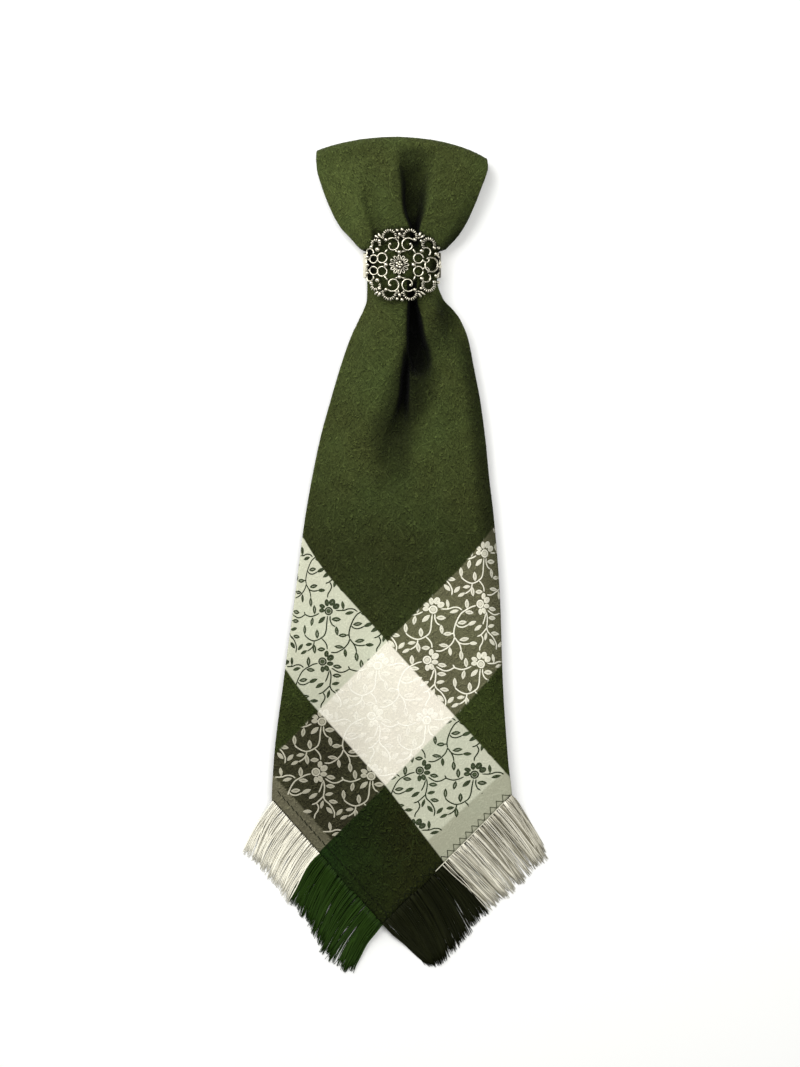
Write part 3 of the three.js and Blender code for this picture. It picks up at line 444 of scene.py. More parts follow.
ROSETTE_BEADS = {
    "cardinal": (0.1, 5.6, 1.0, 1),
    "cardinal_right": (6.4, 0.0, 1.0, 0),
    "cardinal_left": (-5.9, 0.0, 1.0, 0),
    "trefoil_root": (0.2, 13.6, 0.95, 1),
    "trefoil_left": (-0.9, 15.3, 0.8, 1),
    "trefoil_right": (1.3, 15.7, 0.9, 1),
    "lyre_right_end": (5.1, 9.2, 0.7, 1),
    "lyre_left_end": (-4.1, 9.2, 0.7, 1),
    "lyre_right_open": (7.0, 11.2, 0.9, 1),
    "lyre_left_open": (-5.9, 11.1, 0.9, 1),
    "scroll_end": (10.1, 6.2, 0.95, 1),
    "corner_end": (15.8, 7.7, 0.8, 1),
    "rim_right": (16.8, 4.9, 1.0, 1),
    "rim_corner": (17.7, 7.8, 0.7, 1),
    "rim_middle": (18.3, -0.6, 0.8, 0),
    "left_square": (-9.8, 6.9, 1.05, 1),
    "left_corner": (-8.9, 10.7, 0.85, 1),
    "left_rim": (-12.6, 8.1, 0.8, 1),
    "left_rim_low": (-14.6, 3.6, 0.8, 1),
    "left_rim_middle": (-14.4, 0.0, 0.8, 0),
    "corner_inner": (9.9, 10.6, 0.8, 1),
}
LEAF_COLUMNS = ("x", "y", "long", "wide", "angle", "mirror")
ROSETTE_LEAVES = {
    "right_leaf": (9.3, 13.6, 2.6, 1.3, 62, 1),
    "right_leaf_low": (10.6, 12.7, 2.8, 1.3, 38, 1),
    "left_leaf": (-9.0, 13.2, 2.6, 1.3, 118, 1),
    "left_leaf_low": (-10.2, 12.6, 2.4, 1.2, 142, 1),
    "top_leaf": (-0.4, 12.0, 1.8, 0.9, 90, 1),
}
LINK_COLUMNS = ("x", "y", "to_x", "to_y", "mirror")
ROSETTE_LINKS = {
    "lyre_foot_right": (2.9, 6.2, 0.4, 5.6, 1),
    "lyre_foot_left": (-1.9, 6.2, -0.2, 5.6, 1),
    "diagonal_right": (6.3, 7.0, 7.6, 4.7, 1),
    "diagonal_left": (-5.3, 7.0, -6.9, 4.9, 1),
    "eye_bead_right": (6.4, 0.0, 8.0, 0.9, 1),
    "eye_bead_left": (-5.9, 0.0, -7.2, 1.0, 1),
    "rim_stub": (16.9, 4.8, 18.4, 3.4, 1),
    "side_stub": (17.4, 0.0, 18.6, 0.0, 0),
    "left_stub": (-13.2, 2.4, -14.8, 2.4, 1),
    "trefoil_arm_right": (0.4, 13.4, 2.4, 11.9, 1),
    "trefoil_arm_left": (0.0, 13.4, -1.8, 11.9, 1),
    "corner_arm": (7.6, 11.6, 10.2, 12.4, 1),
    "corner_arm_left": (-6.5, 11.6, -9.0, 12.6, 1),
    "bead_arm": (10.0, 10.6, 11.2, 8.2, 1),
}
DAISY_PETALS = 12
PETAL_INNER = 2.0
PETAL_OUTER = 4.3
PETAL_HALF = 0.66
PETAL_NARROWING = 0.6  # how late a petal narrows towards the eye
PETAL_STEPS = 16
PETAL_SIDES = 6
PETAL_WIRE = 0.26
PETAL_ARCH = 0.3
EYE_BEADS = 5  # round a middle one
EYE_REACH = 1.1
EYE_BEAD = 0.78
EYE_HEIGHT = 0.6

VIEW_MIDDLE = Vector((-0.9, -120.4, 0)) * MM
FLOOR_HALF = 3000
WORLD_LIGHT = 0.3
# Lights: name, place from the middle of the view, size and power
LIGHTS = (
    ("key_softbox", (-0.36, 0.42, 0.42), (0.7, 0.7), 6.5),
    ("fill_softbox", (0.45, 0.1, 1.2), (1.0, 1.0), 9.4),
)


def table_rows(columns, table):
    """The rows of a table, each with its values under the names of the columns."""
    return [dict(zip(columns, row)) for row in table.values()]


class Curve:
    """A smooth line through table rows, level at both ends and at its turning points."""

    def __init__(self, places, values):
        order = np.argsort(places)
        self.places = np.asarray(places, float)[order]
        self.values = np.asarray(values, float)[order]
        rise = np.diff(self.values) / np.diff(self.places)
        before, after = rise[:-1], rise[1:]
        turning = before * after <= 0
        total = np.where(turning, 1.0, before + after)
        inner = np.where(turning, 0.0, 2 * before * after / total)
        self.slopes = np.concatenate(([0.0], inner, [0.0]))

    def __call__(self, place):
        place = np.clip(np.asarray(place, float), self.places[0], self.places[-1])
        i = np.clip(np.searchsorted(self.places, place, side="right") - 1, 0, len(self.places) - 2)
        span = self.places[i + 1] - self.places[i]
        t = (place - self.places[i]) / span
        u = 1 - t
        ends = (1 + 2 * t) * u * u * self.values[i] + t * t * (3 - 2 * t) * self.values[i + 1]
        return ends + t * u * span * (u * self.slopes[i] - t * self.slopes[i + 1])


def curves(columns, rows):
    """One Curve for each named column after the first, which is the place along the table."""
    table = np.array(rows, float)
    return {name: Curve(table[:, 0], table[:, i]) for i, name in enumerate(columns) if i > 0}


def mix(a, b, t):
    """The value that lies a share t of the way from a to b."""
    return a + (b - a) * t


class Leg:
    """One leg of the strip.

    A column is 0 in the middle, 1 at the side fold, 2 behind it and 3 at the cut edge, below 0 on the left.
    """

    def __init__(self, columns, rows, point):
        self.at = curves(columns, rows)
        self.point = point

    def across(self, column, y, thickness):
        """Place across, inward step and distance folded back, for columns at heights y."""
        side = np.where(column < 0, -1.0, 1.0)
        out = np.abs(column)
        centre = self.at["centre"](y)
        edge = np.where(side < 0, self.at["left"](y), self.at["right"](y))
        radius = LAYER_STEP / 2
        fold = edge - side * (radius + thickness / 2)
        turn = np.clip(out - 1, 0, 1) * math.pi
        folded = np.clip(out - 2, 0, 1) * FLAP_REACH * np.abs(fold - centre)
        on_face = centre + (fold - centre) * np.minimum(out, 1)
        x = np.where(out <= 1, on_face, fold + side * (radius * np.sin(turn) - folded))
        return x, radius * (1 - np.cos(turn)), folded

    def hem(self, column, thickness):
        """Height at which the pointed hem cuts each column."""
        rise = np.where(column < 0, self.point["left_rise"], self.point["right_rise"])
        y = np.full_like(column, self.point["y"], dtype=float)
        for _ in range(12):
            x, _, folded = self.across(column, y, thickness)
            outward = np.abs(x - self.at["centre"](self.point["y"])) + 2 * folded
            y = self.point["y"] + rise * outward
        return y


FRONT = Leg(FRONT_COLUMNS, FRONT_ROWS, FRONT_POINT)
BACK = Leg(BACK_COLUMNS, BACK_ROWS, BACK_POINT)
PLEAT_CURVES = {name: curves(PLEAT_COLUMNS, rows) for name, rows in PLEATS.items()}
SHADE_CURVES = [curves(SHADE_COLUMNS, rows) for rows in SHADES.values()]


def pleat_depth(x, y):
    """How far the deepest pleat takes the front leg down."""
    depth = np.zeros_like(x, dtype=float)
    for name, pleat in PLEAT_CURVES.items():
        beside = x - pleat["x"](y)
        wall = np.where(beside < 0, pleat["left_wall"](y), pleat["right_wall"](y))
        flatness = np.where(beside < 0, *PLEAT_FLATNESS[name])
        t = np.minimum(np.abs(beside) / wall, 1)
        depth = np.maximum(depth, pleat["depth"](y) * (1 - t ** flatness) ** 2)
    return depth


def painted_shade_share(x, y):
    """Share of the light that painted shade takes from the front leg's colour; below 0 it is painted light.
    """
    kept = np.ones_like(x, dtype=float)
    for shade in SHADE_CURVES:
        beside = x - shade["x"](y)
        reach = np.where(beside < 0, shade["left_reach"](y), shade["right_reach"](y))
        t = np.minimum(np.abs(beside) / reach, 1)
        kept *= 1 - shade["share"](y) * (1 - t ** SHADE_FLATNESS) ** 2
    return 1 - kept


def half_width_share(column):
    """Share of a leg's half width at which a column lies, on the face or behind it."""
    out = np.abs(column)
    return np.where(out <= 1, out, 1 - np.clip(out - 2, 0, 1) * FLAP_REACH)


def front_point(column, y):
    """Middle of the cloth; the flaps behind the face are pushed down with its pleats."""
    x, inward, _ = FRONT.across(column, y, CLOTH)
    on_face = np.abs(column) <= 1
    share = half_width_share(column)
    face = FRONT.at["face"](y)
    dome = FRONT.at["crown"](y) * (1 - share ** DOME_POWER)
    between_flaps = np.where(on_face, np.clip((1 - FLAP_REACH + FLAP_EASE - share) / FLAP_EASE, 0, 1), 0)
    room = dome + face - PLEAT_FLOOR - LAYER_STEP * (1 - between_flaps)
    drop = np.minimum(pleat_depth(x, y), room)
    z = face - inward + np.where(on_face, dome - drop, -np.maximum(drop - dome, 0))
    return np.stack((x, y + 0 * x, z), axis=-1)


def back_point(column, y):
    """Middle of the cloth of the hidden leg, whose face lies below."""
    x, inward, _ = BACK.across(column, y, CLOTH)
    return np.stack((x, y + 0 * x, BACK.at["face"](y) + inward), axis=-1)


def bend_height(column):
    """Height of the middle of the arched top's bend for each column."""
    share = np.sign(column) * half_width_share(column)
    return TOP_MIDDLE - TOP_ARCH * share ** 2 - TOP_TILT * share - FRAME_CLOTH / 2 - BEND_RADIUS


def bend_point(column, turn):
    """A point of the bend; turn goes from 0 on the front leg to 1 on the back one."""
    top = bend_height(column)
    start = front_point(column, top)
    end = back_point(column, top)
    angle = turn * math.pi
    radius = (start[..., 2] - end[..., 2]) / 2
    middle = (start[..., 2] + end[..., 2]) / 2
    x = mix(start[..., 0], end[..., 0], turn)
    return np.stack((x, top + radius * np.sin(angle), middle + radius * np.cos(angle)), axis=-1)


def strip_columns(face, fold_steps, flap_steps):
    """Columns from one cut edge to the other, with even steps round the side folds and over the flaps."""
    fold = np.linspace(1, 2, fold_steps + 1)[1:]
    flap = np.linspace(2, 3, flap_steps + 1)[1:]
    right = np.concatenate((fold, flap))
    return np.concatenate((-right[::-1], face, right))


class Spread:
    """Distances measured over the cloth of one leg, across it from the line through its tip."""

    def __init__(self, leg, place, tip_y):
        self.columns = strip_columns(np.linspace(-1, 1, FACE_SAMPLES), FOLD_STEPS, FOLD_STEPS)
        self.heights = np.arange(leg.point["y"] - 4, TOP_MIDDLE + 1, HEIGHT_STEP)
        column, y = np.meshgrid(self.columns, self.heights, indexing="ij")
        steps = np.linalg.norm(np.diff(place(column, y), axis=0), axis=-1)
        walked = np.vstack((np.zeros(len(self.heights)), np.cumsum(steps, axis=0)))
        middle = len(self.columns) // 2
        reach = np.where(column < 0, -ROLL["left"], ROLL["right"])
        rolled = np.clip((np.abs(column) - ROLL["start"]) / (1 - ROLL["start"]), 0, 1) ** 2
        risen = np.clip((y - ROLL["none_below"]) / (ROLL["full_above"] - ROLL["none_below"]), 0, 1)
        self.distance = walked - walked[middle] + leg.at["centre"](y) - TIP_X + reach * rolled * risen
        self.tip_y = tip_y
        self.reach = np.arange(-WIDEST, WIDEST + 1, 1.0)
        found = [np.interp(self.reach, distance, self.columns) for distance in self.distance.T]
        self.inverse = np.stack(found, axis=1)

    def _sample(self, grid, i, y):
        """Value of a grid at a fractional row i and at height y."""
        j = np.clip((y - self.heights[0]) / HEIGHT_STEP, 0, len(self.heights) - 1.001)
        i = np.clip(i, 0, grid.shape[0] - 1.001)
        i0, j0 = i.astype(int), j.astype(int)
        s, t = i - i0, j - j0
        low = mix(grid[i0, j0], grid[i0 + 1, j0], s)
        high = mix(grid[i0, j0 + 1], grid[i0 + 1, j0 + 1], s)
        return mix(low, high, t)

    def across(self, column, y):
        """Distance over the cloth to a column."""
        return self._sample(self.distance, np.interp(column, self.columns, np.arange(len(self.columns))), y)

    def column(self, a, y):
        """Column at a distance over the cloth."""
        return self._sample(self.inverse, a - self.reach[0], y)


FRONT_SPREAD = Spread(FRONT, front_point, TIP_Y)
BACK_SPREAD = Spread(BACK, back_point, BACK_POINT["y"] - 1.8)


def corner_pull(u, v):
    """How far inwards the cloth of the dark corner has been pulled at its right-hand line."""
    return CORNER_PULL * np.maximum(0, 1 - u / BAND) * np.clip(1 - np.abs(v / BAND - 1), 0, 1)


def weave_to_cloth(u, v):
    """Across and along the cloth for a place u, v on its woven check."""
    a = (u * U_STEP[0] + v * V_STEP[0]) / BAND - corner_pull(u, v)
    b = (u * U_STEP[1] + v * V_STEP[1]) / BAND
    return a, b


def cloth_to_weave(a, b):
    """Place on the woven check for a place across and along the cloth, found in a few rounds."""
    size = U_STEP[0] * V_STEP[1] - V_STEP[0] * U_STEP[1]
    u = v = 0
    for _ in range(5):
        pulled = a + corner_pull(u, v)
        u = (pulled * V_STEP[1] - b * V_STEP[0]) / size * BAND
        v = (b * U_STEP[0] - pulled * U_STEP[1]) / size * BAND
    return u, v


def on_front(a, b):
    """Points of the front leg and the bend above it, and which of them are really on the cloth."""
    y = b + TIP_Y
    column = FRONT_SPREAD.column(a, np.minimum(y, FIRST_HEIGHT))
    for _ in range(3):
        top = bend_height(column)
        column = FRONT_SPREAD.column(a, np.minimum(y, top))
    turn = np.clip((y - top) / (math.pi * BEND_RADIUS), 0, 1)
    below = front_point(column, np.minimum(y, top))
    points = np.where((y <= top)[..., None], below, bend_point(column, turn))
    return points, (np.abs(column) < LAST_VINES["front"]) & (turn < LAST_VINES["bend"])


def on_back(a, b):
    """Points of the hidden leg, and which of them are really on the cloth."""
    y = b + BACK_SPREAD.tip_y
    column = BACK_SPREAD.column(a, np.minimum(y, FIRST_HEIGHT))
    return back_point(column, y), (np.abs(column) < LAST_VINES["back"]) & (y < bend_height(column))


def raised(place, facing, a, b, lift):
    """Points at a height over the cloth's outer side."""
    nudge = 0.25
    points, real = place(a, b)
    over = place(a + nudge, b)[0] - place(a - nudge, b)[0]
    along = place(a, b + nudge)[0] - place(a, b - nudge)[0]
    normal = np.cross(over, along)
    normal /= np.maximum(np.linalg.norm(normal, axis=-1, keepdims=True), 1e-9)
    return points + facing * normal * (CLOTH / 2 + lift)[..., None], real


# Meshes

def mesh_object(name, points, faces, materials, smooth=True, weave=None, shade=None):
    """A new object from points in millimetres; weave and shade are values kept at its points."""
    mesh = bpy.data.meshes.new(name)
    mesh.from_pydata((np.asarray(points, float) * MM).tolist(), [], faces)
    for material in materials:
        mesh.materials.append(material)
    if weave is not None:
        attribute = mesh.attributes.new("weave", "FLOAT_VECTOR", "POINT")
        attribute.data.foreach_set("vector", np.asarray(weave, np.float32).ravel())
    if shade is not None:
        attribute = mesh.attributes.new("shade", "FLOAT", "POINT")
        attribute.data.foreach_set("value", np.asarray(shade, np.float32).ravel())
    if smooth:
        mesh.polygons.foreach_set("use_smooth", np.ones(len(mesh.polygons), bool))
    mesh.update()
    piece = bpy.data.objects.new(name, mesh)
    bpy.context.scene.collection.objects.link(piece)
    return piece


class Gather:
    """Collects many small meshes into one."""

    def __init__(self):
        self.points = []
        self.faces = []
        self.shades = []
        self.count = 0

    def add(self, points, faces, shade=0.0):
        """Adds a mesh, with one shade for all its points."""
        points = np.asarray(points, float)
        self.points.append(points)
        self.faces.extend([tuple(i + self.count for i in face) for face in faces])
        self.shades.append(np.full(len(points), shade))
        self.count += len(points)

    def object(self, name, materials, smooth=True, with_shade=False):
        """A new object from all that was added."""
        shade = np.concatenate(self.shades) if with_shade else None
        return mesh_object(name, np.concatenate(self.points), self.faces, materials, smooth, shade=shade)


def grid_faces(wide, long):
    """Four-sided faces of a grid of points."""
    return [
        (i * long + j, (i + 1) * long + j, (i + 1) * long + j + 1, i * long + j + 1)
        for i in range(wide - 1) for j in range(long - 1)
    ]


def thickened(grid, thickness):
    """Points and faces of a closed wall of even thickness round a grid of middle points."""
    wide, long = grid.shape[:2]
    over = np.gradient(grid, axis=0)
    along = np.gradient(grid, axis=1)
    normal = np.cross(over, along)
    normal /= np.maximum(np.linalg.norm(normal, axis=-1, keepdims=True), 1e-9)
    outer = grid + normal * thickness / 2
    inner = grid - normal * thickness / 2
    points = np.concatenate((outer.reshape(-1, 3), inner.reshape(-1, 3)))
    shift = wide * long
    faces = grid_faces(wide, long)
    faces += [tuple(reversed([i + shift for i in face])) for face in grid_faces(wide, long)]
    rim = [(i * long, (i + 1) * long) for i in range(wide - 1)]
    rim += [((wide - 1) * long + j, (wide - 1) * long + j + 1) for j in range(long - 1)]
    rim += [((i + 1) * long + long - 1, i * long + long - 1) for i in range(wide - 1)]
    rim += [(j + 1, j) for j in range(long - 1)]
    faces += [(b, a, a + shift, b + shift) for a, b in rim]
    return points, faces


def tube(points, radii, sides, closed=False):
    """Points and faces of a round wire along points; radii is one number or one for each point."""
    points = np.asarray(points, float)
    count = len(points)
    radii = np.broadcast_to(np.asarray(radii, float), (count,))
    if closed:
        ahead = np.roll(points, -1, axis=0) - np.roll(points, 1, axis=0)
    else:
        ahead = np.gradient(points, axis=0)
    ahead /= np.maximum(np.linalg.norm(ahead, axis=1, keepdims=True), 1e-9)
    side = np.cross(ahead, np.array([0.0, 0.0, 1.0]))
    flat = np.linalg.norm(side, axis=1) < 1e-6
    side[flat] = np.array([1.0, 0.0, 0.0])
    side /= np.linalg.norm(side, axis=1, keepdims=True)
    up = np.cross(side, ahead)
    angles = (np.arange(sides) + 0.5) / sides * 2 * math.pi
    ring = (
        side[:, None, :] * np.cos(angles)[None, :, None] + up[:, None, :] * np.sin(angles)[None, :, None]
    ) * radii[:, None, None]
    vertices = (points[:, None, :] + ring).reshape(-1, 3)
    faces = []
    for i in range(count if closed else count - 1):
        j = (i + 1) % count
        for k in range(sides):
            m = (k + 1) % sides
            faces.append((i * sides + k, i * sides + m, j * sides + m, j * sides + k))
    if not closed:
        faces.append(tuple(range(sides))[::-1])
        faces.append(tuple((count - 1) * sides + k for k in range(sides)))
    return vertices, faces


def ball(centre, radius, around=10, bands=6, scale=(1, 1, 1), turn=0.0):
    """Points and faces of a round or flattened bead."""
    points = [(0.0, 0.0, 1.0)]
    for band in range(1, bands):
        low = band / bands * math.pi
        for k in range(around):
            angle = k / around * 2 * math.pi
            points.append((math.sin(low) * math.cos(angle), math.sin(low) * math.sin(angle), math.cos(low)))
    points.append((0.0, 0.0, -1.0))
    faces = [(0, 1 + k, 1 + (k + 1) % around) for k in range(around)]
    for band in range(bands - 2):
        start = 1 + band * around
        for k in range(around):
            m = (k + 1) % around
            faces.append((start + k, start + around + k, start + around + m, start + m))
    last = len(points) - 1
    start = last - around
    faces += [(last, start + (k + 1) % around, start + k) for k in range(around)]
    placed = np.array(points) * radius * np.array(scale)
    spin = np.array([[math.cos(turn), -math.sin(turn), 0], [math.sin(turn), math.cos(turn), 0], [0, 0, 1]])
    return placed @ spin.T + np.array(centre), faces


def flowing(points, steps):
    """A rounded line through given points."""
    points = np.asarray(points, float)
    padded = np.vstack((2 * points[0] - points[1], points, 2 * points[-1] - points[-2]))
    line = []
    for i in range(len(points) - 1):
        a, b, c, d = padded[i:i + 4]
        for k in range(steps):
            t = k / steps
            squared, cubed = 2 * a - 5 * b + 4 * c - d, 3 * b - a - 3 * c + d
            line.append(0.5 * (2 * b + (c - a) * t + squared * t * t + cubed * t ** 3))
    line.append(points[-1])
    return np.array(line)


# Materials

MIX_FACTOR, MIX_A, MIX_B = 0, 6, 7  # inputs of a node that mixes colours

# Patterns of the cloth, as a number to a millimetre. Threads are really about 0.35 mm thick and drawn at
# 0.9 mm, and crepe crinkles are 0.3 mm wide and drawn at 0.6 mm, because finer ones wouldn't show.
THREAD_SCALE = 1.1
THREAD_RUN = 0.08  # along a thread
CRINKLE_SCALE = 0.3
CLOUD_SCALE = 0.04
SPECK_SCALE = 1.15
# The lit and shaded sides of a crinkle are a painted highlight and a painted shade
PAINTED_SHADE_SHIFT = (0.6, 0.12, 0)  # from the lit side of a crinkle to its shaded side
# Half the soft edge between two bands of the check, and between a band and its plain hem
SOFT_BAND = 0.3
SOFT_HEM = 0.5
# Where the dark corner turns greener, in u less v, and where the painted shade on the field fades out, in u
# and v together
CORNER_GREENER = (-16.0, 40.0)
FIELD_SHADE_FADE = (236.0, 290.0)
# Brightness of the cloth's colour: where it starts, and the share of each pattern in it. Threads, clouds and
# specks are its uneven tone; ridges and shaded are the painted highlight and painted shade of each crinkle
LIGHT_START = -2.4
LIGHT_SHARES = {"threads": 0.7, "ridges": 1.25, "shaded": -0.5, "clouds": 0.7, "specks": 2.2}
RIDGE_RELIEF = 2.4  # height of a crinkle, in threads


def feed(tree, node, inputs):
    """Sets inputs of a node, each to a value, an output, or the first output in use of another node."""
    for key, value in inputs.items():
        if isinstance(value, bpy.types.Node):
            value = next(output for output in value.outputs if output.enabled)
        if isinstance(value, bpy.types.NodeSocket):
            tree.links.new(value, node.inputs[key])
        else:
            node.inputs[key].default_value = value


def add_node(tree, kind, inputs=None, **settings):
    """Adds a node with its settings and links."""
    node = tree.nodes.new(kind)
    for key, value in settings.items():
        setattr(node, key, value)
    feed(tree, node, inputs or {})
    return node


def new_material(name, **surface):
    """A material of one Principled shader, with constants on its own sockets."""
    material = bpy.data.materials.new(name)
    material.use_nodes = True
    tree = material.node_tree
    tree.nodes.clear()
    constants = {key.replace("_", " "): value for key, value in surface.items()}
    shader = add_node(tree, "ShaderNodeBsdfPrincipled", constants)
    add_node(tree, "ShaderNodeOutputMaterial", {"Surface": shader})
    return material, tree, shader


def check_colour(tree, u, v, rows):
    """Colour of the woven check; rows along v and columns along u are its border, cream and field bands."""
    share = add_node(tree, "ShaderNodeMath", {0: u, 1: 3 * BAND}, operation="DIVIDE", use_clamp=True)
    colours = []
    for row in rows:
        ramp = add_node(tree, "ShaderNodeValToRGB", {"Fac": share})
        stops = ramp.color_ramp.elements
        stops[0].position, stops[0].color = 1 / 3 - BAND_EDGE, row[0]
        stops[1].position, stops[1].color = 2 / 3 + BAND_EDGE, row[2]
        for position in (1 / 3 + BAND_EDGE, 2 / 3 - BAND_EDGE):
            stops.new(position).color = row[1]
        colours.append(ramp)
    colour = colours[0]
    for edge, next_colour in zip((BAND, 2 * BAND), colours[1:]):
        limits = {"Value": v, "From Min": edge - SOFT_BAND, "From Max": edge + SOFT_BAND}
        past = add_node(tree, "ShaderNodeMapRange", limits)
        blend = {MIX_FACTOR: past, MIX_A: colour, MIX_B: next_colour}
        colour = add_node(tree, "ShaderNodeMix", blend, data_type="RGBA")
    return colour


def jacquard_colour(tree, parts, settings, figure):
    """Colours of the squares with their plain hems, or of the vines on them with their outlines."""
    add = partial(add_node, tree)
    u, v = parts.outputs["X"], parts.outputs["Y"]
    if figure:
        share = parts.outputs["Z"]
        tables = (settings.figure_rows(), settings.outline_rows())
    else:
        past = []
        for place, hem in ((u, HEM_RIGHT), (v, HEM_LEFT)):
            limits = {"Value": place, "From Min": hem - SOFT_HEM, "From Max": hem + SOFT_HEM}
            past.append(add("ShaderNodeMapRange", limits))
        share = add("ShaderNodeMath", dict(enumerate(past)), operation="MINIMUM")
        tables = (settings.hem_rows(), settings.ground_rows())
    first, second = [check_colour(tree, u, v, rows) for rows in tables]
    colour = add("ShaderNodeMix", {MIX_FACTOR: share, MIX_A: first, MIX_B: second}, data_type="RGBA")
    # The threads of the dark corner are greener towards its left-hand hem
    reach = add("ShaderNodeMath", {0: u, 1: v}, operation="MAXIMUM")
    corner = add("ShaderNodeMath", {0: reach, 1: BAND}, operation="LESS_THAN")
    leftward = add("ShaderNodeMath", {0: u, 1: v}, operation="SUBTRACT")
    greener = add("ShaderNodeMapRange", {
        "Value": leftward, "From Min": CORNER_GREENER[0], "From Max": CORNER_GREENER[1], "To Max": corner,
    })
    blend = {MIX_FACTOR: greener, MIX_A: colour, MIX_B: settings.green_corner_left}
    return add("ShaderNodeMix", blend, data_type="RGBA")


def painted_field_shade(tree, parts, depth):
    """Share of the light left on the green field by a painted shade, which is darker towards the check."""
    add = partial(add_node, tree)
    place = {0: parts.outputs["X"], 1: parts.outputs["Y"]}
    nearer = add("ShaderNodeMath", place, operation="MINIMUM")
    in_field = add("ShaderNodeMath", {0: nearer, 1: 2 * BAND}, operation="GREATER_THAN")
    from_corner = add("ShaderNodeMath", place)
    deeper = add("ShaderNodeMapRange", {
        "Value": from_corner, "From Min": FIELD_SHADE_FADE[0], "From Max": FIELD_SHADE_FADE[1],
        "To Min": depth - 1, "To Max": 0.0,
    })
    return add("ShaderNodeMath", {0: in_field, 1: deeper, 2: 1.0}, operation="MULTIPLY_ADD")


def jacquard_patterns(tree, place):
    """Threads, crinkles with their painted highlight and painted shade, and uneven dye of the cloth."""
    add = partial(add_node, tree)
    ways = []
    for stretch in ((THREAD_RUN, THREAD_SCALE, 1), (THREAD_SCALE, THREAD_RUN, 1)):
        along = add("ShaderNodeMapping", {"Vector": place, "Scale": stretch})
        ways.append(add("ShaderNodeTexNoise", {"Vector": along, "Scale": 1.0, "Detail": 1.0}))
    # A crinkle is the ridge between two lumps of a noise, a few millimetres long. The ridge gives the bump
    # and a painted highlight, and its copy shifted away from the light gives a painted shade
    sides = []
    for shift in ((0, 0, 0), PAINTED_SHADE_SHIFT):
        moved = add("ShaderNodeMapping", {"Vector": place, "Location": shift})
        form = {"Vector": moved, "Scale": CRINKLE_SCALE, "Detail": 1.5, "Distortion": 1.2}
        lumps = add("ShaderNodeTexNoise", form)
        off_ridge = add("ShaderNodeMath", {0: lumps, 1: 0.5}, operation="SUBTRACT")
        ridge_way = add("ShaderNodeMath", {0: off_ridge}, operation="ABSOLUTE")
        limits = {"Value": ridge_way, "From Max": 0.045, "To Min": 1.0, "To Max": 0.0}
        sides.append(add("ShaderNodeMapRange", limits))
    clouds = {"Vector": place, "Scale": CLOUD_SCALE, "Detail": 3.0}
    specks = {"Vector": place, "Scale": SPECK_SCALE, "Detail": 2.5, "Roughness": 0.75}
    return {
        "threads": add("ShaderNodeMath", dict(enumerate(ways))),
        "ridges": sides[0],
        "shaded": sides[1],
        "clouds": add("ShaderNodeTexNoise", clouds),
        "specks": add("ShaderNodeTexNoise", specks),
    }


def jacquard_material(name, settings, figure):
    """Viscose jacquard with a crepe ground, woven on a loom; figure is the satin of its vines."""
    # The eye sees a dull cloth, uneven with threads and fine crinkles, and on it smoother, evener vines
    material, tree, shader = new_material(
        name, Roughness=0.6 if figure else 0.8, Sheen_Weight=0.015, Sheen_Roughness=0.5,
        Specular_IOR_Level=0.035,
    )
    add = partial(add_node, tree)
    place = add("ShaderNodeAttribute", attribute_name="weave").outputs["Vector"]
    parts = add("ShaderNodeSeparateXYZ", {0: place})
    colour = jacquard_colour(tree, parts, settings, figure)
    patterns = jacquard_patterns(tree, place)
    light = LIGHT_START
    for pattern, share in LIGHT_SHARES.items():
        light = add("ShaderNodeMath", {0: patterns[pattern], 1: share, 2: light}, operation="MULTIPLY_ADD")
    # The patterns show most on dark cloth; light cloth evens them out
    brightness = add("ShaderNodeRGBToBW", {0: colour})
    uneven = add("ShaderNodeMapRange", {
        "Value": brightness, "From Min": 0.02, "From Max": 0.2,
        "To Min": 1.25 * settings.unevenness, "To Max": 0.18 * settings.unevenness,
    })
    value = add("ShaderNodeMath", {0: light, 1: uneven, 2: 1.0}, operation="MULTIPLY_ADD")
    # Painted shade: ambient occlusion darkens the colour deep in a fold, where the light comes only off dark
    # cloth and is nearly gone
    openness = add("ShaderNodeAmbientOcclusion", {"Distance": 12 * MM}, samples=8).outputs["AO"]
    painted_occlusion = add("ShaderNodeMapRange", {
        "Value": openness, "From Min": 0.46, "From Max": 0.86, "To Min": 0.02,
    })
    # Painted shade and painted light from the SHADES table, kept at the points
    painted_shade = add("ShaderNodeAttribute", attribute_name="shade").outputs["Fac"]
    kept = add("ShaderNodeMath", {0: 1.0, 1: painted_shade}, operation="SUBTRACT")
    # The green field also gets its painted shade towards the check
    for share in (painted_occlusion, kept, painted_field_shade(tree, parts, settings.painted_field_light)):
        value = add("ShaderNodeMath", {0: value, 1: share}, operation="MULTIPLY")
    # The two dyes of the yarn take unevenly: patches a little greener or more olive
    dye = add("ShaderNodeMapRange", {
        "Value": patterns["clouds"], "From Min": 0.3, "From Max": 0.7, "To Min": 0.487, "To Max": 0.509,
    })
    tint = {"Hue": dye, "Saturation": 0.93, "Value": value, "Color": colour}
    tinted = add("ShaderNodeHueSaturation", tint)
    raise_ridges = {0: patterns["ridges"], 1: RIDGE_RELIEF, 2: patterns["threads"]}
    relief = add("ShaderNodeMath", raise_ridges, operation="MULTIPLY_ADD")
    bump = add("ShaderNodeBump", {"Height": relief, "Strength": uneven, "Distance": 0.3 * MM})
    feed(tree, shader, {"Base Color": tinted, "Normal": bump})
    return material


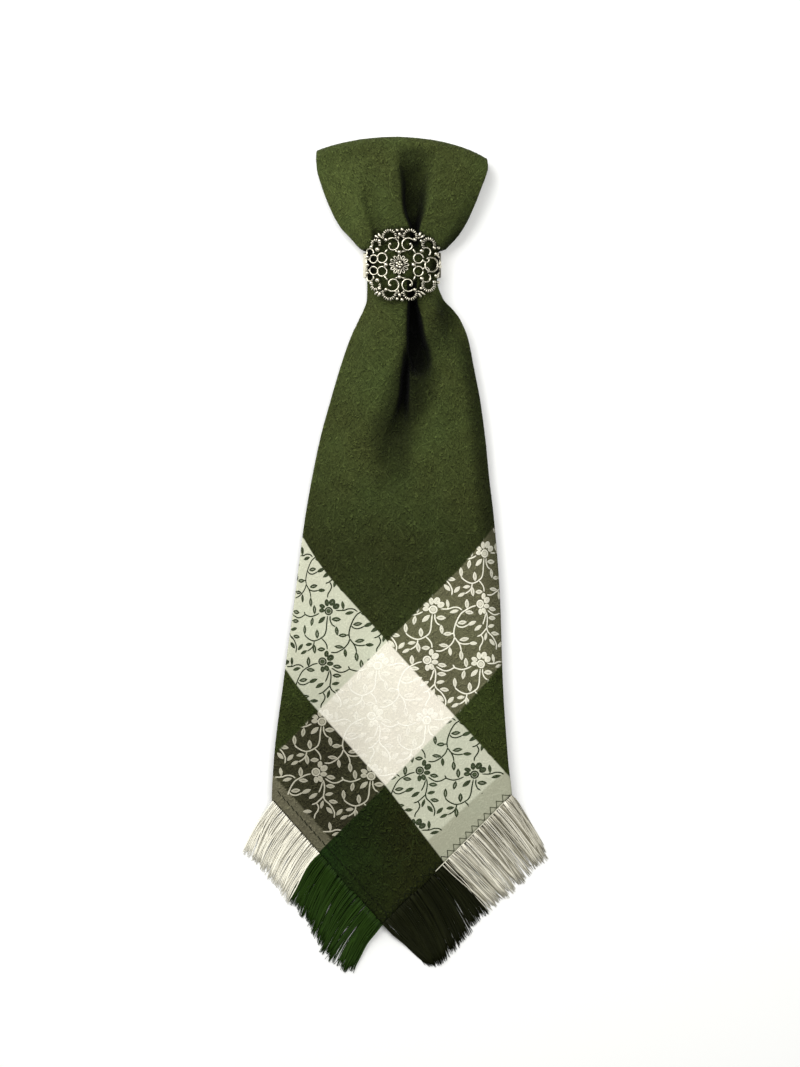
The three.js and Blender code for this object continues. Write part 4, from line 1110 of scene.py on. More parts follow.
def thread_material(name, colour, deep, roughness, between=0.3):
    """Spun and twisted thread; between is the share of light that a painted shade leaves in between its
    locks.
    """
    # The eye sees soft-shining lines, each dyed a little lighter or deeper, with dark gaps between them
    material, tree, shader = new_material(name, Roughness=roughness, Specular_IOR_Level=0.07)
    add = partial(add_node, tree)
    shade = add("ShaderNodeAttribute", attribute_name="shade").outputs["Fac"]
    mixed = add("ShaderNodeMix", {MIX_FACTOR: shade, MIX_A: colour, MIX_B: deep}, data_type="RGBA")
    # Painted shade: ambient occlusion darkens the colour where the threads lie close together
    openness = add("ShaderNodeAmbientOcclusion", {"Distance": 2.5 * MM}, samples=6).outputs["AO"]
    painted_occlusion = add("ShaderNodeMapRange", {
        "Value": openness, "From Min": 0.2, "From Max": 0.8, "To Min": between,
    })
    tinted = add("ShaderNodeHueSaturation", {"Value": painted_occlusion, "Color": mixed})
    # Plies about 0.15 mm apart, drawn at 0.8 mm so that they show
    place = add("ShaderNodeTexCoord").outputs["Object"]
    plies = add("ShaderNodeTexNoise", {"Vector": place, "Scale": 1 / (0.8 * MM), "Detail": 1.0})
    bump = add("ShaderNodeBump", {"Height": plies, "Strength": 0.3, "Distance": 0.1 * MM})
    feed(tree, shader, {"Base Color": tinted, "Normal": bump})
    return material


def silver_material(name, settings):
    """Cast silver filigree, blackened and then rubbed bright."""
    # The eye sees dark metal where it lies deep or grainy, and light sharp glints along its ridges
    material, tree, shader = new_material(name, Metallic=1.0)
    add = partial(add_node, tree)
    nearby = add("ShaderNodeAmbientOcclusion", {"Distance": 0.9 * MM}, samples=6).outputs["AO"]
    # Grain of the casting about 0.3 mm across, drawn at 0.9 mm so that it shows
    place = add("ShaderNodeTexCoord").outputs["Object"]
    grain = {"Vector": place, "Scale": 1 / (0.9 * MM), "Detail": 3.0, "Roughness": 0.6}
    patches = add("ShaderNodeTexNoise", grain)
    worn = add("ShaderNodeMath", {0: patches, 1: 0.8, 2: nearby}, operation="MULTIPLY_ADD")
    rubbed = add("ShaderNodeMapRange", {"Value": worn, "From Min": 1.0, "From Max": 1.34})
    blend = {MIX_FACTOR: rubbed, MIX_A: settings.tarnish, MIX_B: settings.silver}
    colour = add("ShaderNodeMix", blend, data_type="RGBA")
    rough = add("ShaderNodeMapRange", {"Value": rubbed, "To Min": 0.6, "To Max": 0.2})
    bump = add("ShaderNodeBump", {"Height": patches, "Strength": 0.45, "Distance": 0.25 * MM})
    feed(tree, shader, {"Base Color": colour, "Roughness": rough, "Normal": bump})
    return material


# Settings

def length_setting(name, description, millimetres):
    """A length that a user would change."""
    return FloatProperty(name=name, description=description, default=millimetres * MM, unit="LENGTH")


def colour_setting(name, description, code):
    """A colour that a user would change."""
    return FloatVectorProperty(
        name=name, description=description, subtype="COLOR", size=4, min=0.0, max=1.0, default=linear(code),
    )


class KerchiefSettings(bpy.types.PropertyGroup):
    """Cloth of the neckerchief. The colour of an outline is that of the vines' stems too."""

    thickness: length_setting("Cloth thickness", "Thickness of the woven cloth", CLOTH)
    face_columns: IntProperty(name="Columns", description="Mesh columns across the face", default=112, min=20)
    vine_height: length_setting("Vine height", "How far the satin vines stand proud", 0.07)
    unevenness: FloatProperty(
        name="Unevenness", description="How much lighter and darker the threads are", default=0.72,
        min=0.0, max=1.0,
    )
    # Painted shade: how light the green field is left beside the check
    painted_field_light: FloatProperty(
        name="Field depth", description="How light the field beside the check is, 1 as the rest",
        default=0.62, min=0.0, max=1.0,
    )
    green: colour_setting("Green", "Field of the cloth", "#3b441d")
    green_side: colour_setting("Side green", "Border crossing the field", "#313b14")
    green_corner: colour_setting("Corner green", "Border crossing itself", "#24290b")
    green_corner_left: colour_setting("Left corner green", "Dark corner beside its left-hand hem", "#1b300a")
    brown: colour_setting("Brown", "Cream threads crossing the field", "#605f44")
    brown_border: colour_setting("Border brown", "Cream threads crossing the border", "#3c3b26")
    light_green: colour_setting("Light green", "Field threads under the cream band", "#bcbea6")
    light_border: colour_setting("Border light green", "Border threads under the cream band", "#b8baa3")
    cream: colour_setting("Cream", "Cream threads crossing themselves", "#dad5c3")
    green_figure: colour_setting("Green figure", "Vines on the field", "#3a431c")
    green_outline: colour_setting("Green outline", "Outlines of the vines on the field", "#444e23")
    side_outline: colour_setting("Side outline", "Outlines where the border crosses the field", "#394319")
    corner_outline: colour_setting("Corner outline", "Outlines in the dark corner", "#2b3511")
    cream_figure: colour_setting("Cream figure", "Vines on the brown ground", "#c9c6b0")
    cream_outline: colour_setting("Cream outline", "Outlines on the brown ground", "#e6e3cf")
    border_figure: colour_setting("Border figure", "Vines on the border's brown ground", "#a09c86")
    border_outline: colour_setting("Border outline", "Outlines on the border's brown ground", "#bfbba5")
    dark_figure: colour_setting("Dark figure", "Vines on the light green ground", "#475337")
    dark_outline: colour_setting("Dark outline", "Outlines on the light green ground", "#2e3821")
    pale_figure: colour_setting("Pale figure", "Vines on the cream ground", "#dfdac8")
    pale_outline: colour_setting("Pale outline", "Outlines on the cream ground", "#edeadb")
    hem_olive: colour_setting("Olive hem", "Plain hem beside the brown ground", "#65624c")
    hem_grey: colour_setting("Grey hem", "Plain hem beside the light green ground", "#9d9e87")
    stitch: colour_setting("Stitch thread", "Hem stitches on the dark corner", "#161c0c")
    stitch_light: colour_setting("Light stitch thread", "Hem stitches past the dark corner", "#50543f")
    cord: colour_setting("Edge cord", "Light side of the cord along the hem", "#cfccb8")
    cord_deep: colour_setting("Deep edge cord", "Deep side of the cord along the hem", "#b9b6a2")

    # Colours of the border, cream and field bands, in rows along v and columns along u

    def ground_rows(self):
        return (
            (self.green_corner, self.brown_border, self.green_side),
            (self.light_border, self.cream, self.light_green),
            (self.green_side, self.brown, self.green),
        )

    def figure_rows(self):
        return (
            (self.green_corner, self.border_figure, self.green_side),
            (self.dark_figure, self.pale_figure, self.dark_figure),
            (self.green_side, self.cream_figure, self.green_figure),
        )

    def outline_rows(self):
        return (
            (self.corner_outline, self.border_outline, self.side_outline),
            (self.dark_outline, self.pale_outline, self.dark_outline),
            (self.side_outline, self.cream_outline, self.green_outline),
        )

    def hem_rows(self):
        return (
            (self.green_corner, self.hem_olive, self.green_side),
            (self.hem_grey, self.cream, self.light_green),
            (self.green_side, self.brown, self.green),
        )


class FringeSettings(bpy.types.PropertyGroup):
    """Thread fringes of the hems."""

    thread: length_setting("Thread radius", "Radius of one fringe thread", 0.25)
    lock_pitch: length_setting("Lock pitch", "Distance between two locks of thread", 2.6)
    threads_in_lock: IntProperty(
        name="Threads in a lock", description="Threads gathered in one lock", default=17,
    )
    cream: colour_setting("Cream thread", "Light side of the cream fringe", "#fdf9e8")
    cream_deep: colour_setting("Deep cream thread", "Deep side of the cream fringe", "#908b77")
    green: colour_setting("Green thread", "Light side of the green fringe", "#2a4211")
    green_deep: colour_setting("Deep green thread", "Deep side of the green fringe", "#132408")
    dark: colour_setting("Dark thread", "Light side of the dark fringe", "#1b1e09")
    dark_deep: colour_setting("Deep dark thread", "Deep side of the dark fringe", "#0c0e03")


class RingSettings(bpy.types.PropertyGroup):
    """Filigree ring."""

    wire_share: FloatProperty(
        name="Wire", description="Thickness of the scrolled wires, 1 as charted", default=0.88,
    )
    rib_pitch: length_setting("Rib pitch", "Distance between the ribs of a crown", 0.9)
    silver: colour_setting("Silver", "Rubbed silver", "#cfcab7")
    tarnish: colour_setting("Tarnish", "Blackened silver in the corners", "#17160f")


class StageSettings(bpy.types.PropertyGroup):
    """Floor, camera and lights."""

    camera_height: length_setting("Camera height", "Height of the camera over the floor", 3000)
    view_width: length_setting("View width", "Width of floor that the picture shows", 360)
    floor: colour_setting("Floor", "Pale paper under the neckerchief", "#fafaf8")
    room: colour_setting("Room light", "Colour of the light from all round", "#f6f7f4")


# Pieces

def cloth_columns(count):
    """Columns across the strip, closer together towards the main pleat."""
    even = np.linspace(-1, 1, count + 1)
    return strip_columns(even * (0.5 + 0.5 * even ** 2), FOLD_STEPS, FLAP_STEPS)


def cloth_grid(columns):
    """Middle points of the whole strip, their place on the woven check and the share of light painted away
    from them.
    """
    rows = []
    top = bend_height(columns)

    def add(points, spread, y_row, y_path):
        a = spread.across(columns, y_row)
        u, v = cloth_to_weave(a, y_path - spread.tip_y)
        # Painted shade and painted light go on the front leg only
        painted_shade = painted_shade_share(points[..., 0], points[..., 1]) if spread is FRONT_SPREAD else 0 * u
        rows.append((points, np.stack((u, v, 0 * u), axis=-1), painted_shade))

    def walk(leg_point, spread, start, end, part, first=0, last=0):
        count = CLOTH_ROWS[part]
        for i in range(first, count + last):
            y = mix(start, end, i / count) + 0 * columns
            add(leg_point(columns, y), spread, y, y)

    walk(front_point, FRONT_SPREAD, FRONT.hem(columns, CLOTH), TAIL_START, "tail")
    walk(front_point, FRONT_SPREAD, TAIL_START, FAN_START, "ring")
    walk(front_point, FRONT_SPREAD, FAN_START, top, "fan")
    for i in range(CLOTH_ROWS["bend"] + 1):
        turn = i / CLOTH_ROWS["bend"]
        add(bend_point(columns, turn), FRONT_SPREAD, top, top + turn * math.pi * BEND_RADIUS)
    walk(back_point, BACK_SPREAD, top, FAN_START, "back_fan", first=1)
    walk(back_point, BACK_SPREAD, FAN_START, TAIL_START, "back_ring")
    walk(back_point, BACK_SPREAD, TAIL_START, BACK.hem(columns, CLOTH), "back_tail", last=1)
    return [np.stack([row[part] for row in rows], axis=1) for part in range(3)]


def leaf_outline(leaf, long_share, wide_share, roundness):
    """Points round a leaf or petal; roundness is 0 for pointed ends and 1 for an ellipse."""
    x, y, angle, long, wide = leaf[:5]
    turn = math.radians(angle)
    points = []
    for k in range(LEAF_POINTS):
        t = k / LEAF_POINTS * 2 * math.pi
        along = math.cos(t) * long * long_share
        side = math.sin(t) * mix(abs(math.sin(t)), 1, roundness) * wide * wide_share
        points.append((
            x + along * math.cos(turn) - side * math.sin(turn),
            y + along * math.sin(turn) + side * math.cos(turn),
        ))
    return points


class Chart:
    """One repeat of the vines as flat points, with relief 1 on a ridge and outline 1 on a bright edge."""

    def __init__(self):
        self.points = []
        self.relief = []
        self.outline = []
        self.faces = []
        self.whole = []

    def loops(self, loops, reliefs, outlines, fill):
        """Closed loops of equal length, one inside the other."""
        start = len(self.points)
        count = len(loops[0])
        for loop, relief, outline in zip(loops, reliefs, outlines):
            self.points.extend(loop)
            self.relief.extend([relief] * count)
            self.outline.extend([outline] * count)
        for ring in range(len(loops) - 1):
            for k in range(count):
                m = (k + 1) % count
                a = start + ring * count
                self.faces.append((a + k, a + m, a + count + m, a + count + k))
        if fill:
            self.faces.append(tuple(start + (len(loops) - 1) * count + k for k in range(count)))
        self.whole.append((start, len(self.points)))

    def stem(self, line, half):
        """A stem with a ridge along its middle, narrower at both ends."""
        line = flowing(line, 3)
        ahead = np.gradient(line, axis=0)
        ahead /= np.linalg.norm(ahead, axis=1, keepdims=True)
        side = np.stack((-ahead[:, 1], ahead[:, 0]), axis=1)
        width = np.full(len(line), half)
        width[0] = width[-1] = half * STEM_END
        start = len(self.points)
        for p, s, w in zip(line, side, width):
            self.points.extend((tuple(p + s * w), tuple(p), tuple(p - s * w)))
            self.relief.extend((0.0, 1.0, 0.0))
            self.outline.extend((0.7, 1.0, 0.7))
        for i in range(len(line) - 1):
            a = start + 3 * i
            self.faces.append((a, a + 1, a + 4, a + 3))
            self.faces.append((a + 1, a + 2, a + 5, a + 4))

    def leaf(self, leaf, origin):
        """A pointed leaf, some with a slit along the middle where the ground shows."""
        moved = (leaf[0] + origin[0], leaf[1] + origin[1]) + tuple(leaf[2:])
        sizes = (*LEAF_LOOPS, SLITS[bool(leaf[5])])
        loops = [leaf_outline(moved, *size, LEAF_ROUNDNESS) for size in sizes]
        self.loops(loops, (0.0, 1.0, 0.2), (1.0, 0.1, 0.5), fill=not leaf[5])

    def petal(self, petal, origin):
        """A rounded petal with a short slit."""
        moved = (petal[0] + origin[0], petal[1] + origin[1]) + tuple(petal[2:])
        loops = [leaf_outline(moved, *size, PETAL_ROUNDNESS) for size in PETAL_LOOPS]
        self.loops(loops, (0.0, 1.0, 0.2), (1.0, 0.3, 0.6), fill=False)

    def flower(self, petals, origin):
        """Petals round an eye, kept or left out as a whole."""
        start, before = len(self.points), len(self.whole)
        for petal in petals:
            self.petal(petal, origin)
        radii = (EYE_RING + EYE_RING_HALF, EYE_RING, EYE_RING - EYE_RING_HALF)
        self.loops([circle(origin, radius) for radius in radii], (0.0, 1.0, 0.0), (1.0, 0.9, 0.8), fill=False)
        self.loops([circle(origin, radius) for radius in EYE_MIDDLE], (0.0, 0.5), (0.4, 0.1), fill=True)
        self.whole[before:] = [(start, len(self.points))]


def circle(middle, radius):
    """Points of a flower's eye round its middle."""
    turns = [k / EYE_POINTS * 2 * math.pi for k in range(EYE_POINTS)]
    return [(middle[0] + radius * math.cos(t), middle[1] + radius * math.sin(t)) for t in turns]


def vine_chart():
    """The charted repeat: its points, their relief and outline, its faces, and what is never cut."""
    chart = Chart()
    for line in UPRIGHT_STEMS:
        chart.stem(line, STEM_HALF)
    for line in SIDE_STEMS:
        chart.stem(np.array(line) + np.array(SIDE_FLOWER), STEM_HALF)
    for leaf in UPRIGHT_LEAVES:
        chart.leaf(leaf, (0, 0))
    for leaf in SIDE_LEAVES:
        chart.leaf(leaf, SIDE_FLOWER)
    chart.flower(UPRIGHT_PETALS, (0, 0))
    chart.flower(SIDE_PETALS, SIDE_FLOWER)
    return np.array(chart.points), np.array(chart.relief), np.array(chart.outline), chart.faces, chart.whole


def vine_mesh(height):
    """All vines on both legs, laid over the cloth cell by cell."""
    flat, relief, outline, faces, whole = vine_chart()
    size = U_REPEAT[0] * V_REPEAT[1] - V_REPEAT[0] * U_REPEAT[1]
    along_u = (flat[:, 0] * V_REPEAT[1] - flat[:, 1] * V_REPEAT[0]) / size
    along_v = (flat[:, 1] * U_REPEAT[0] - flat[:, 0] * U_REPEAT[1]) / size
    all_points, all_weave, all_painted_shade, all_faces, count = [], [], [], [], 0
    legs = ((on_front, 1.0, VINE_REACH["front"]), (on_back, -1.0, VINE_REACH["back"]))
    for (place, facing, reach), i, j in product(legs, CELLS, CELLS):
        u = CELL_START[0] + (i + along_u) * CELL_U
        v = CELL_START[1] + (j + along_v) * CELL_V
        a, b = weave_to_cloth(u, v)
        past_sides = a.min() > VINE_REACH["across"] or a.max() < -VINE_REACH["across"]
        if b.max() < 0 or b.min() > reach or past_sides:
            continue
        points, real = raised(place, facing, a, b, relief * height + VINE_EDGE)
        inside = (u > HEM_RIGHT - INTO_HEM[1]) & (v > HEM_LEFT - INTO_HEM[0])
        for start, end in whole:  # no leaf or flower is cut by a hem
            inside[start:end] = inside[start:end].all()
        real &= inside
        kept = [face for face in faces if all(real[k] for k in face)]
        if not kept:
            continue
        all_faces += [tuple(k + count for k in (face if facing > 0 else face[::-1])) for face in kept]
        all_points.append(points)
        all_weave.append(np.stack((u, v, outline), axis=-1))
        # Painted shade and painted light go on the front leg's vines only
        all_painted_shade.append(painted_shade_share(points[:, 0], points[:, 1]) if facing > 0 else 0 * u)
        count += len(points)
    return np.concatenate(all_points), all_faces, np.concatenate(all_weave), np.concatenate(all_painted_shade)


def without_loose_points(points, faces, *values):
    """Only the points that a face uses, the faces with their new numbers, and the values of these points."""
    used = np.zeros(len(points), bool)
    for face in faces:
        used[list(face)] = True
    place = np.cumsum(used) - 1
    kept = [tuple(int(place[k]) for k in face) for face in faces]
    return [points[used], kept] + [value[used] for value in values]


def hem_place(side, along, inside):
    """A point of the front leg's hem: along it from the point, and inside from its edge."""
    rise = FRONT_POINT["left_rise"] if side < 0 else FRONT_POINT["right_rise"]
    length = math.hypot(1, rise)
    x = FRONT.at["centre"](FRONT_POINT["y"]) + side * (along / length) - side * inside * rise / length
    y = FRONT_POINT["y"] + along * rise / length + inside / length
    return x - TIP_X, y - TIP_Y


def hem_stitches():
    """Rows of stitches and the edge cord of the front leg's two hems, as one mesh for each thread."""
    dark, cream = Gather(), Gather()

    def sew(gather, side, points, row, shade=0.0):
        a, b = np.array([hem_place(side, along, inside) for along, inside in points]).T
        line, real = raised(on_front, 1.0, a, b, np.full(len(a), row["lift"]))
        if real.all():
            gather.add(*tube(line, row["radius"], THREAD_SIDES), shade)

    def places(row):
        return [row["first"] + i * row["pitch"] for i in range(row["count"])]

    for place in places(RUNNING_STITCH):
        stitch = [(place + along, inside) for along, inside in RUNNING_STITCH["points"]]
        sew(dark, -1, stitch, RUNNING_STITCH)
    turns = [(place, ZIGZAG["sides"][i % 2]) for i, place in enumerate(places(ZIGZAG))]
    for start, end in zip(turns, turns[1:]):
        middle = ((start[0] + end[0]) / 2, (start[1] + end[1]) / 2)
        # The thread is dark on the dark corner and lighter on the rest of the hem
        sew(dark, 1, [start, middle, end], ZIGZAG, 1.0 if start[0] > ZIGZAG["lighter_past"] else 0.0)
    sew(cream, 1, [(place, EDGE_CORD["inside"]) for place in places(EDGE_CORD)], EDGE_CORD)
    return dark, cream


def front_hem_height(x, y):
    """Height of the front leg at its hem, half way up its crown."""
    return FRONT.at["face"](y) + FRONT.at["crown"](y) * 0.5


def back_hem_height(x, y):
    """Height of the hidden leg at its hem, the same all along."""
    return BACK_HEM_HEIGHT


def fringe_threads(run, settings, seed, hem_height):
    """Threads of one fringe, gathered in locks that sweep down from the hem to the floor."""
    chance = random.Random(seed)
    at = curves(FRINGE_COLUMNS, run["rows"])
    start = np.array(run["from"], float)
    hem = np.array(run["to"], float) - start
    hem_length = float(np.hypot(*hem))
    hem_way = hem / hem_length
    outward = np.array((-hem_way[1], hem_way[0]))
    if outward[1] > 0:
        outward = -outward
    locks = max(3, round(hem_length / (settings.lock_pitch / MM)))
    radius = settings.thread / MM
    shares = np.linspace(0, 1, THREAD_STEPS + 1)
    s = shares[:, None]
    narrowing = np.interp(shares, *LOCK_NARROWING)
    taper = np.interp(shares, *THREAD_TAPER) * radius
    lean_spread = LEAN_SPREAD[0] + LEAN_SPREAD[1] * run["spread"]
    gather = Gather()
    for i in range(locks):
        lock_lean = chance.gauss(0, run["spread"])
        lock_length = chance.gauss(*LOCK_LENGTHS)
        lock_shade = chance.random()
        lock_bend = chance.gauss(*LOCK_BENDS)
        for _ in range(round(settings.threads_in_lock * run["dense"])):
            under = chance.random() < UNDER_SHARE
            offset = chance.uniform(-LOCK_REACH, LOCK_REACH) * hem_length / locks
            t = min(max((i + 0.5) / locks + offset / hem_length, 0), 1)
            stray = chance.random() < STRAY_SHARE
            own_lean = chance.gauss(0, STRAY_LEAN if stray else lean_spread)
            lean = math.radians(float(at["lean"](t)) + lock_lean + own_lean)
            long = float(at["length"](t)) * lock_length * chance.uniform(*THREAD_LENGTHS)
            fall = np.array((math.sin(lean), -math.cos(lean)))
            root = start + hem * t - outward * ROOT_INSIDE
            knee = root + (KNEE_WAY[0] * outward + KNEE_WAY[1] * fall) * long * lock_bend
            tip = root + fall * long
            line = (1 - s) ** 2 * root + 2 * s * (1 - s) * knee + s ** 2 * tip
            if not under:
                line = line + hem_way * offset * (narrowing - 1)[:, None]
            line = line + hem_way * chance.gauss(0, THREAD_WAVE) * np.sin(s * math.pi * 2)
            high = float(hem_height(*root)) - ROOT_BELOW
            low = mix(high, TIP_HEIGHT, shares * (2 - shares))
            layer = chance.uniform(*(UNDER_LAYER if under else UPPER_LAYER))
            if not under:
                layer = layer * mix(1, TIP_LAYER, shares)
            z = np.maximum(radius, low + layer + radius)
            shade = run["deep"] * (LOCK_SHADE * lock_shade + OWN_SHADE * chance.random())
            # Painted shade: a thread below the locks is darker, standing for the shade in the gaps
            if under:
                shade += UNDER_PAINTED_SHADE * min(1, run["deep"] + UNDER_DYE)
            gather.add(*tube(np.column_stack((line, z)), taper, THREAD_SIDES), shade=min(shade, 1))
    return gather


# Ring

SIDE_CENTRE = RING_HALF_WIDTH - RING_SIDE_RADIUS
ARCH_RADIUS = (
    SIDE_CENTRE ** 2 + (RING_HEIGHT - RING_SIDE_RADIUS) ** 2 - RING_SIDE_RADIUS ** 2
) / (2 * (RING_HEIGHT - 2 * RING_SIDE_RADIUS))
ARCH_CENTRE = RING_HEIGHT - ARCH_RADIUS
ARCH_ANGLE = math.atan2(SIDE_CENTRE, RING_SIDE_RADIUS - ARCH_CENTRE)
ARCH_LENGTH = ARCH_RADIUS * ARCH_ANGLE
SIDE_LENGTH = RING_SIDE_RADIUS * (math.pi - ARCH_ANGLE)
HALF_OVAL = ARCH_LENGTH + SIDE_LENGTH + SIDE_CENTRE


def oval_point(distance, depth):
    """Place across and height on the ring's oval, at a distance from its top and a depth inside it."""
    side = 1 if distance >= 0 else -1
    along = abs(distance)
    if along <= ARCH_LENGTH:
        angle = along / ARCH_RADIUS
        radius = ARCH_RADIUS - depth
        return side * radius * math.sin(angle), ARCH_CENTRE + radius * math.cos(angle)
    if along <= ARCH_LENGTH + SIDE_LENGTH:
        angle = ARCH_ANGLE + (along - ARCH_LENGTH) / RING_SIDE_RADIUS
        radius = RING_SIDE_RADIUS - depth
        return side * (SIDE_CENTRE + radius * math.sin(angle)), RING_SIDE_RADIUS + radius * math.cos(angle)
    return side * (HALF_OVAL - along), depth


def oval_distance(x):
    """Distance along the oval to the place that is seen at x from above."""
    out = abs(x)
    if out <= ARCH_RADIUS * math.sin(ARCH_ANGLE):
        distance = ARCH_RADIUS * math.asin(out / ARCH_RADIUS)
    else:
        sine = min((out - SIDE_CENTRE) / RING_SIDE_RADIUS, 1)
        distance = ARCH_LENGTH + RING_SIDE_RADIUS * (math.asin(sine) - ARCH_ANGLE)
    return math.copysign(distance, x)


def bent_over_oval(points):
    """Points of the flat rosette, laid on the oval."""
    placed = []
    for x, y, z in points:
        across, height = oval_point(oval_distance(x + ROSETTE_SHIFT), ROSETTE_DEPTH - z)
        placed.append((across, y, height))
    return np.array(placed)


def solder(gather, mesh, mirror):
    """Adds a flat piece of the rosette, bent over the oval, and where asked its mirror image."""
    points, faces = mesh
    gather.add(bent_over_oval(points), faces)
    if mirror:
        gather.add(bent_over_oval(points * np.array((1, -1, 1))), [face[::-1] for face in faces])


def scroll_line(row, end_radius, steps):
    """Middle line of a scroll that curls in from its radius to its end radius."""
    line = []
    for i in range(steps + 1):
        t = i / steps
        angle = math.radians(row["start"] + row["sweep"] * t)
        reach = mix(row["radius"], end_radius, t ** CURL_POWER)
        line.append((row["x"] + reach * math.cos(angle), row["y"] + reach * math.sin(angle), 0.0))
    return np.array(line)


def rosette(gather, settings):
    """The openwork front: scrolls, ribbed crowns, links, beads, leaves and the daisy in the middle."""
    for row in table_rows(SCROLL_COLUMNS, ROSETTE_SCROLLS):
        line = scroll_line(row, row["end_radius"], SCROLL_STEPS)
        solder(gather, tube(line, row["wire"] * settings.wire_share, WIRE_SIDES), row["mirror"])
    for row in table_rows(CROWN_COLUMNS, ROSETTE_CROWNS):
        line = scroll_line(row, row["radius"], CROWN_STEPS)
        solder(gather, tube(line, CROWN_WIRE, WIRE_SIDES), row["mirror"])
        count = round(math.radians(abs(row["sweep"])) * row["radius"] / settings.rib_pitch * MM)
        for k in range(count):  # close ribs across the crown's wire
            share = (k + 0.5) / count
            x, y, _ = line[round(share * CROWN_STEPS)]
            turn = math.radians(row["start"] + row["sweep"] * share)
            swell = RIB_SIZE[0] + RIB_SIZE[1] * math.sin(share * math.pi)
            rib = ball((x, y, BEAD_HEIGHT), swell, around=8, bands=5, scale=RIB_SHAPE, turn=turn)
            solder(gather, rib, row["mirror"])
    for row in table_rows(LINK_COLUMNS, ROSETTE_LINKS):
        line = [(mix(row["x"], row["to_x"], t), mix(row["y"], row["to_y"], t), 0.0) for t in (0, 0.5, 1)]
        solder(gather, tube(line, LINK_WIRE, WIRE_SIDES), row["mirror"])
    for row in table_rows(BEAD_COLUMNS, ROSETTE_BEADS):
        bead = ball((row["x"], row["y"], BEAD_HEIGHT), row["radius"], around=12, bands=8)
        solder(gather, bead, row["mirror"])
    for row in table_rows(LEAF_COLUMNS, ROSETTE_LEAVES):
        shape = (row["long"] / 2, row["wide"] / 2, LEAF_HALF_THICK)
        turn = math.radians(row["angle"])
        leaf = ball((row["x"], row["y"], LEAF_HEIGHT), 1.0, around=12, scale=shape, turn=turn)
        solder(gather, leaf, row["mirror"])
    for i in range(DAISY_PETALS):
        angle = i / DAISY_PETALS * 2 * math.pi
        loop = []
        for k in range(PETAL_STEPS):
            t = k / PETAL_STEPS * 2 * math.pi
            along = mix(PETAL_INNER, PETAL_OUTER, (1 - math.cos(t)) / 2)
            side = PETAL_HALF * math.sin(t) * abs(math.sin(t / 2)) ** PETAL_NARROWING
            x = along * math.cos(angle) - side * math.sin(angle)
            y = along * math.sin(angle) + side * math.cos(angle)
            loop.append((x, y, PETAL_ARCH * math.sin(t / 2)))
        solder(gather, tube(loop, PETAL_WIRE, PETAL_SIDES, closed=True), False)
    for i in range(EYE_BEADS + 1):
        angle = i / EYE_BEADS * 2 * math.pi
        reach = EYE_REACH if i < EYE_BEADS else 0.0
        middle = (reach * math.cos(angle), reach * math.sin(angle), EYE_HEIGHT)
        solder(gather, ball(middle, EYE_BEAD), False)


def plain_band(gather):
    """The plain band round the back, with softened edges."""
    soft = BAND_SOFT_EDGE
    flat = HALF_OVAL - SIDE_CENTRE
    steps = [i / BAND_STEPS for i in range(BAND_STEPS + 1)]
    stations = [mix(BAND_END_RIGHT, flat, step) for step in steps]
    stations += [2 * HALF_OVAL - mix(flat, BAND_END_LEFT, step) for step in steps]
    points = []
    for distance in stations:
        wrapped = distance if distance <= HALF_OVAL else distance - 2 * HALF_OVAL
        t = min(1, (HALF_OVAL - abs(wrapped)) / (HALF_OVAL - BAND_END_LEFT))
        half = mix(BAND_HALF_BACK, BAND_HALF_FRONT, t ** 3)
        section = (
            (-half + soft, 0.0), (half - soft, 0.0), (half, soft), (half, BAND_THICKNESS - soft),
            (half - soft, BAND_THICKNESS), (-half + soft, BAND_THICKNESS), (-half, BAND_THICKNESS - soft),
            (-half, soft),
        )
        for y, depth in section:
            x, z = oval_point(wrapped, depth)
            points.append((x, y, z))
    sides = len(section)
    faces = []
    for i in range(len(stations) - 1):
        for k in range(sides):
            m = (k + 1) % sides
            faces.append((i * sides + m, i * sides + k, (i + 1) * sides + k, (i + 1) * sides + m))
    last = (len(stations) - 1) * sides
    faces.append(tuple(range(sides)))
    faces.append(tuple(last + k for k in reversed(range(sides))))
    gather.add(points, faces)


# Operators

class OBJECT_OT_kerchief_cloth(bpy.types.Operator):
    """Build the folded jacquard cloth with its woven vines and hem stitches"""

    bl_idname = "object.kerchief_cloth"
    bl_label = "Kerchief cloth"

    def execute(self, context):
        settings = context.scene.kerchief_settings
        points, weave, painted_shade = cloth_grid(cloth_columns(settings.face_columns))
        wall, faces = thickened(points, settings.thickness / MM)
        both_weave = np.tile(weave.reshape(-1, 3), (2, 1))
        # Painted shade and painted light, the same on both sides of the cloth's wall
        both_painted_shade = np.tile(painted_shade.ravel(), 2)
        ground = jacquard_material("woven_viscose_jacquard_ground", settings, figure=False)
        cloth = mesh_object("kerchief_cloth", wall, faces, [ground], weave=both_weave, shade=both_painted_shade)
        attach(cloth, "root")
        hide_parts("kerchief")
        laid = without_loose_points(*vine_mesh(settings.vine_height / MM))
        figure = jacquard_material("woven_viscose_satin_figure", settings, figure=True)
        vines = mesh_object("kerchief_vines", laid[0], laid[1], [figure], weave=laid[2], shade=laid[3])
        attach(vines, "root")
        dark, cream = hem_stitches()
        stitches = dark.object("hem_stitches", [
            thread_material(
                "spun_polyester_sewing_thread_dark", settings.stitch, settings.stitch_light, 0.6,
            ),
        ], with_shade=True)
        cord = cream.object("hem_cord", [
            thread_material("spun_polyester_edge_cord_cream", settings.cord, settings.cord_deep, 0.6),
        ], with_shade=True)
        for piece in (stitches, cord):
            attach(piece, "root")
        return {"FINISHED"}


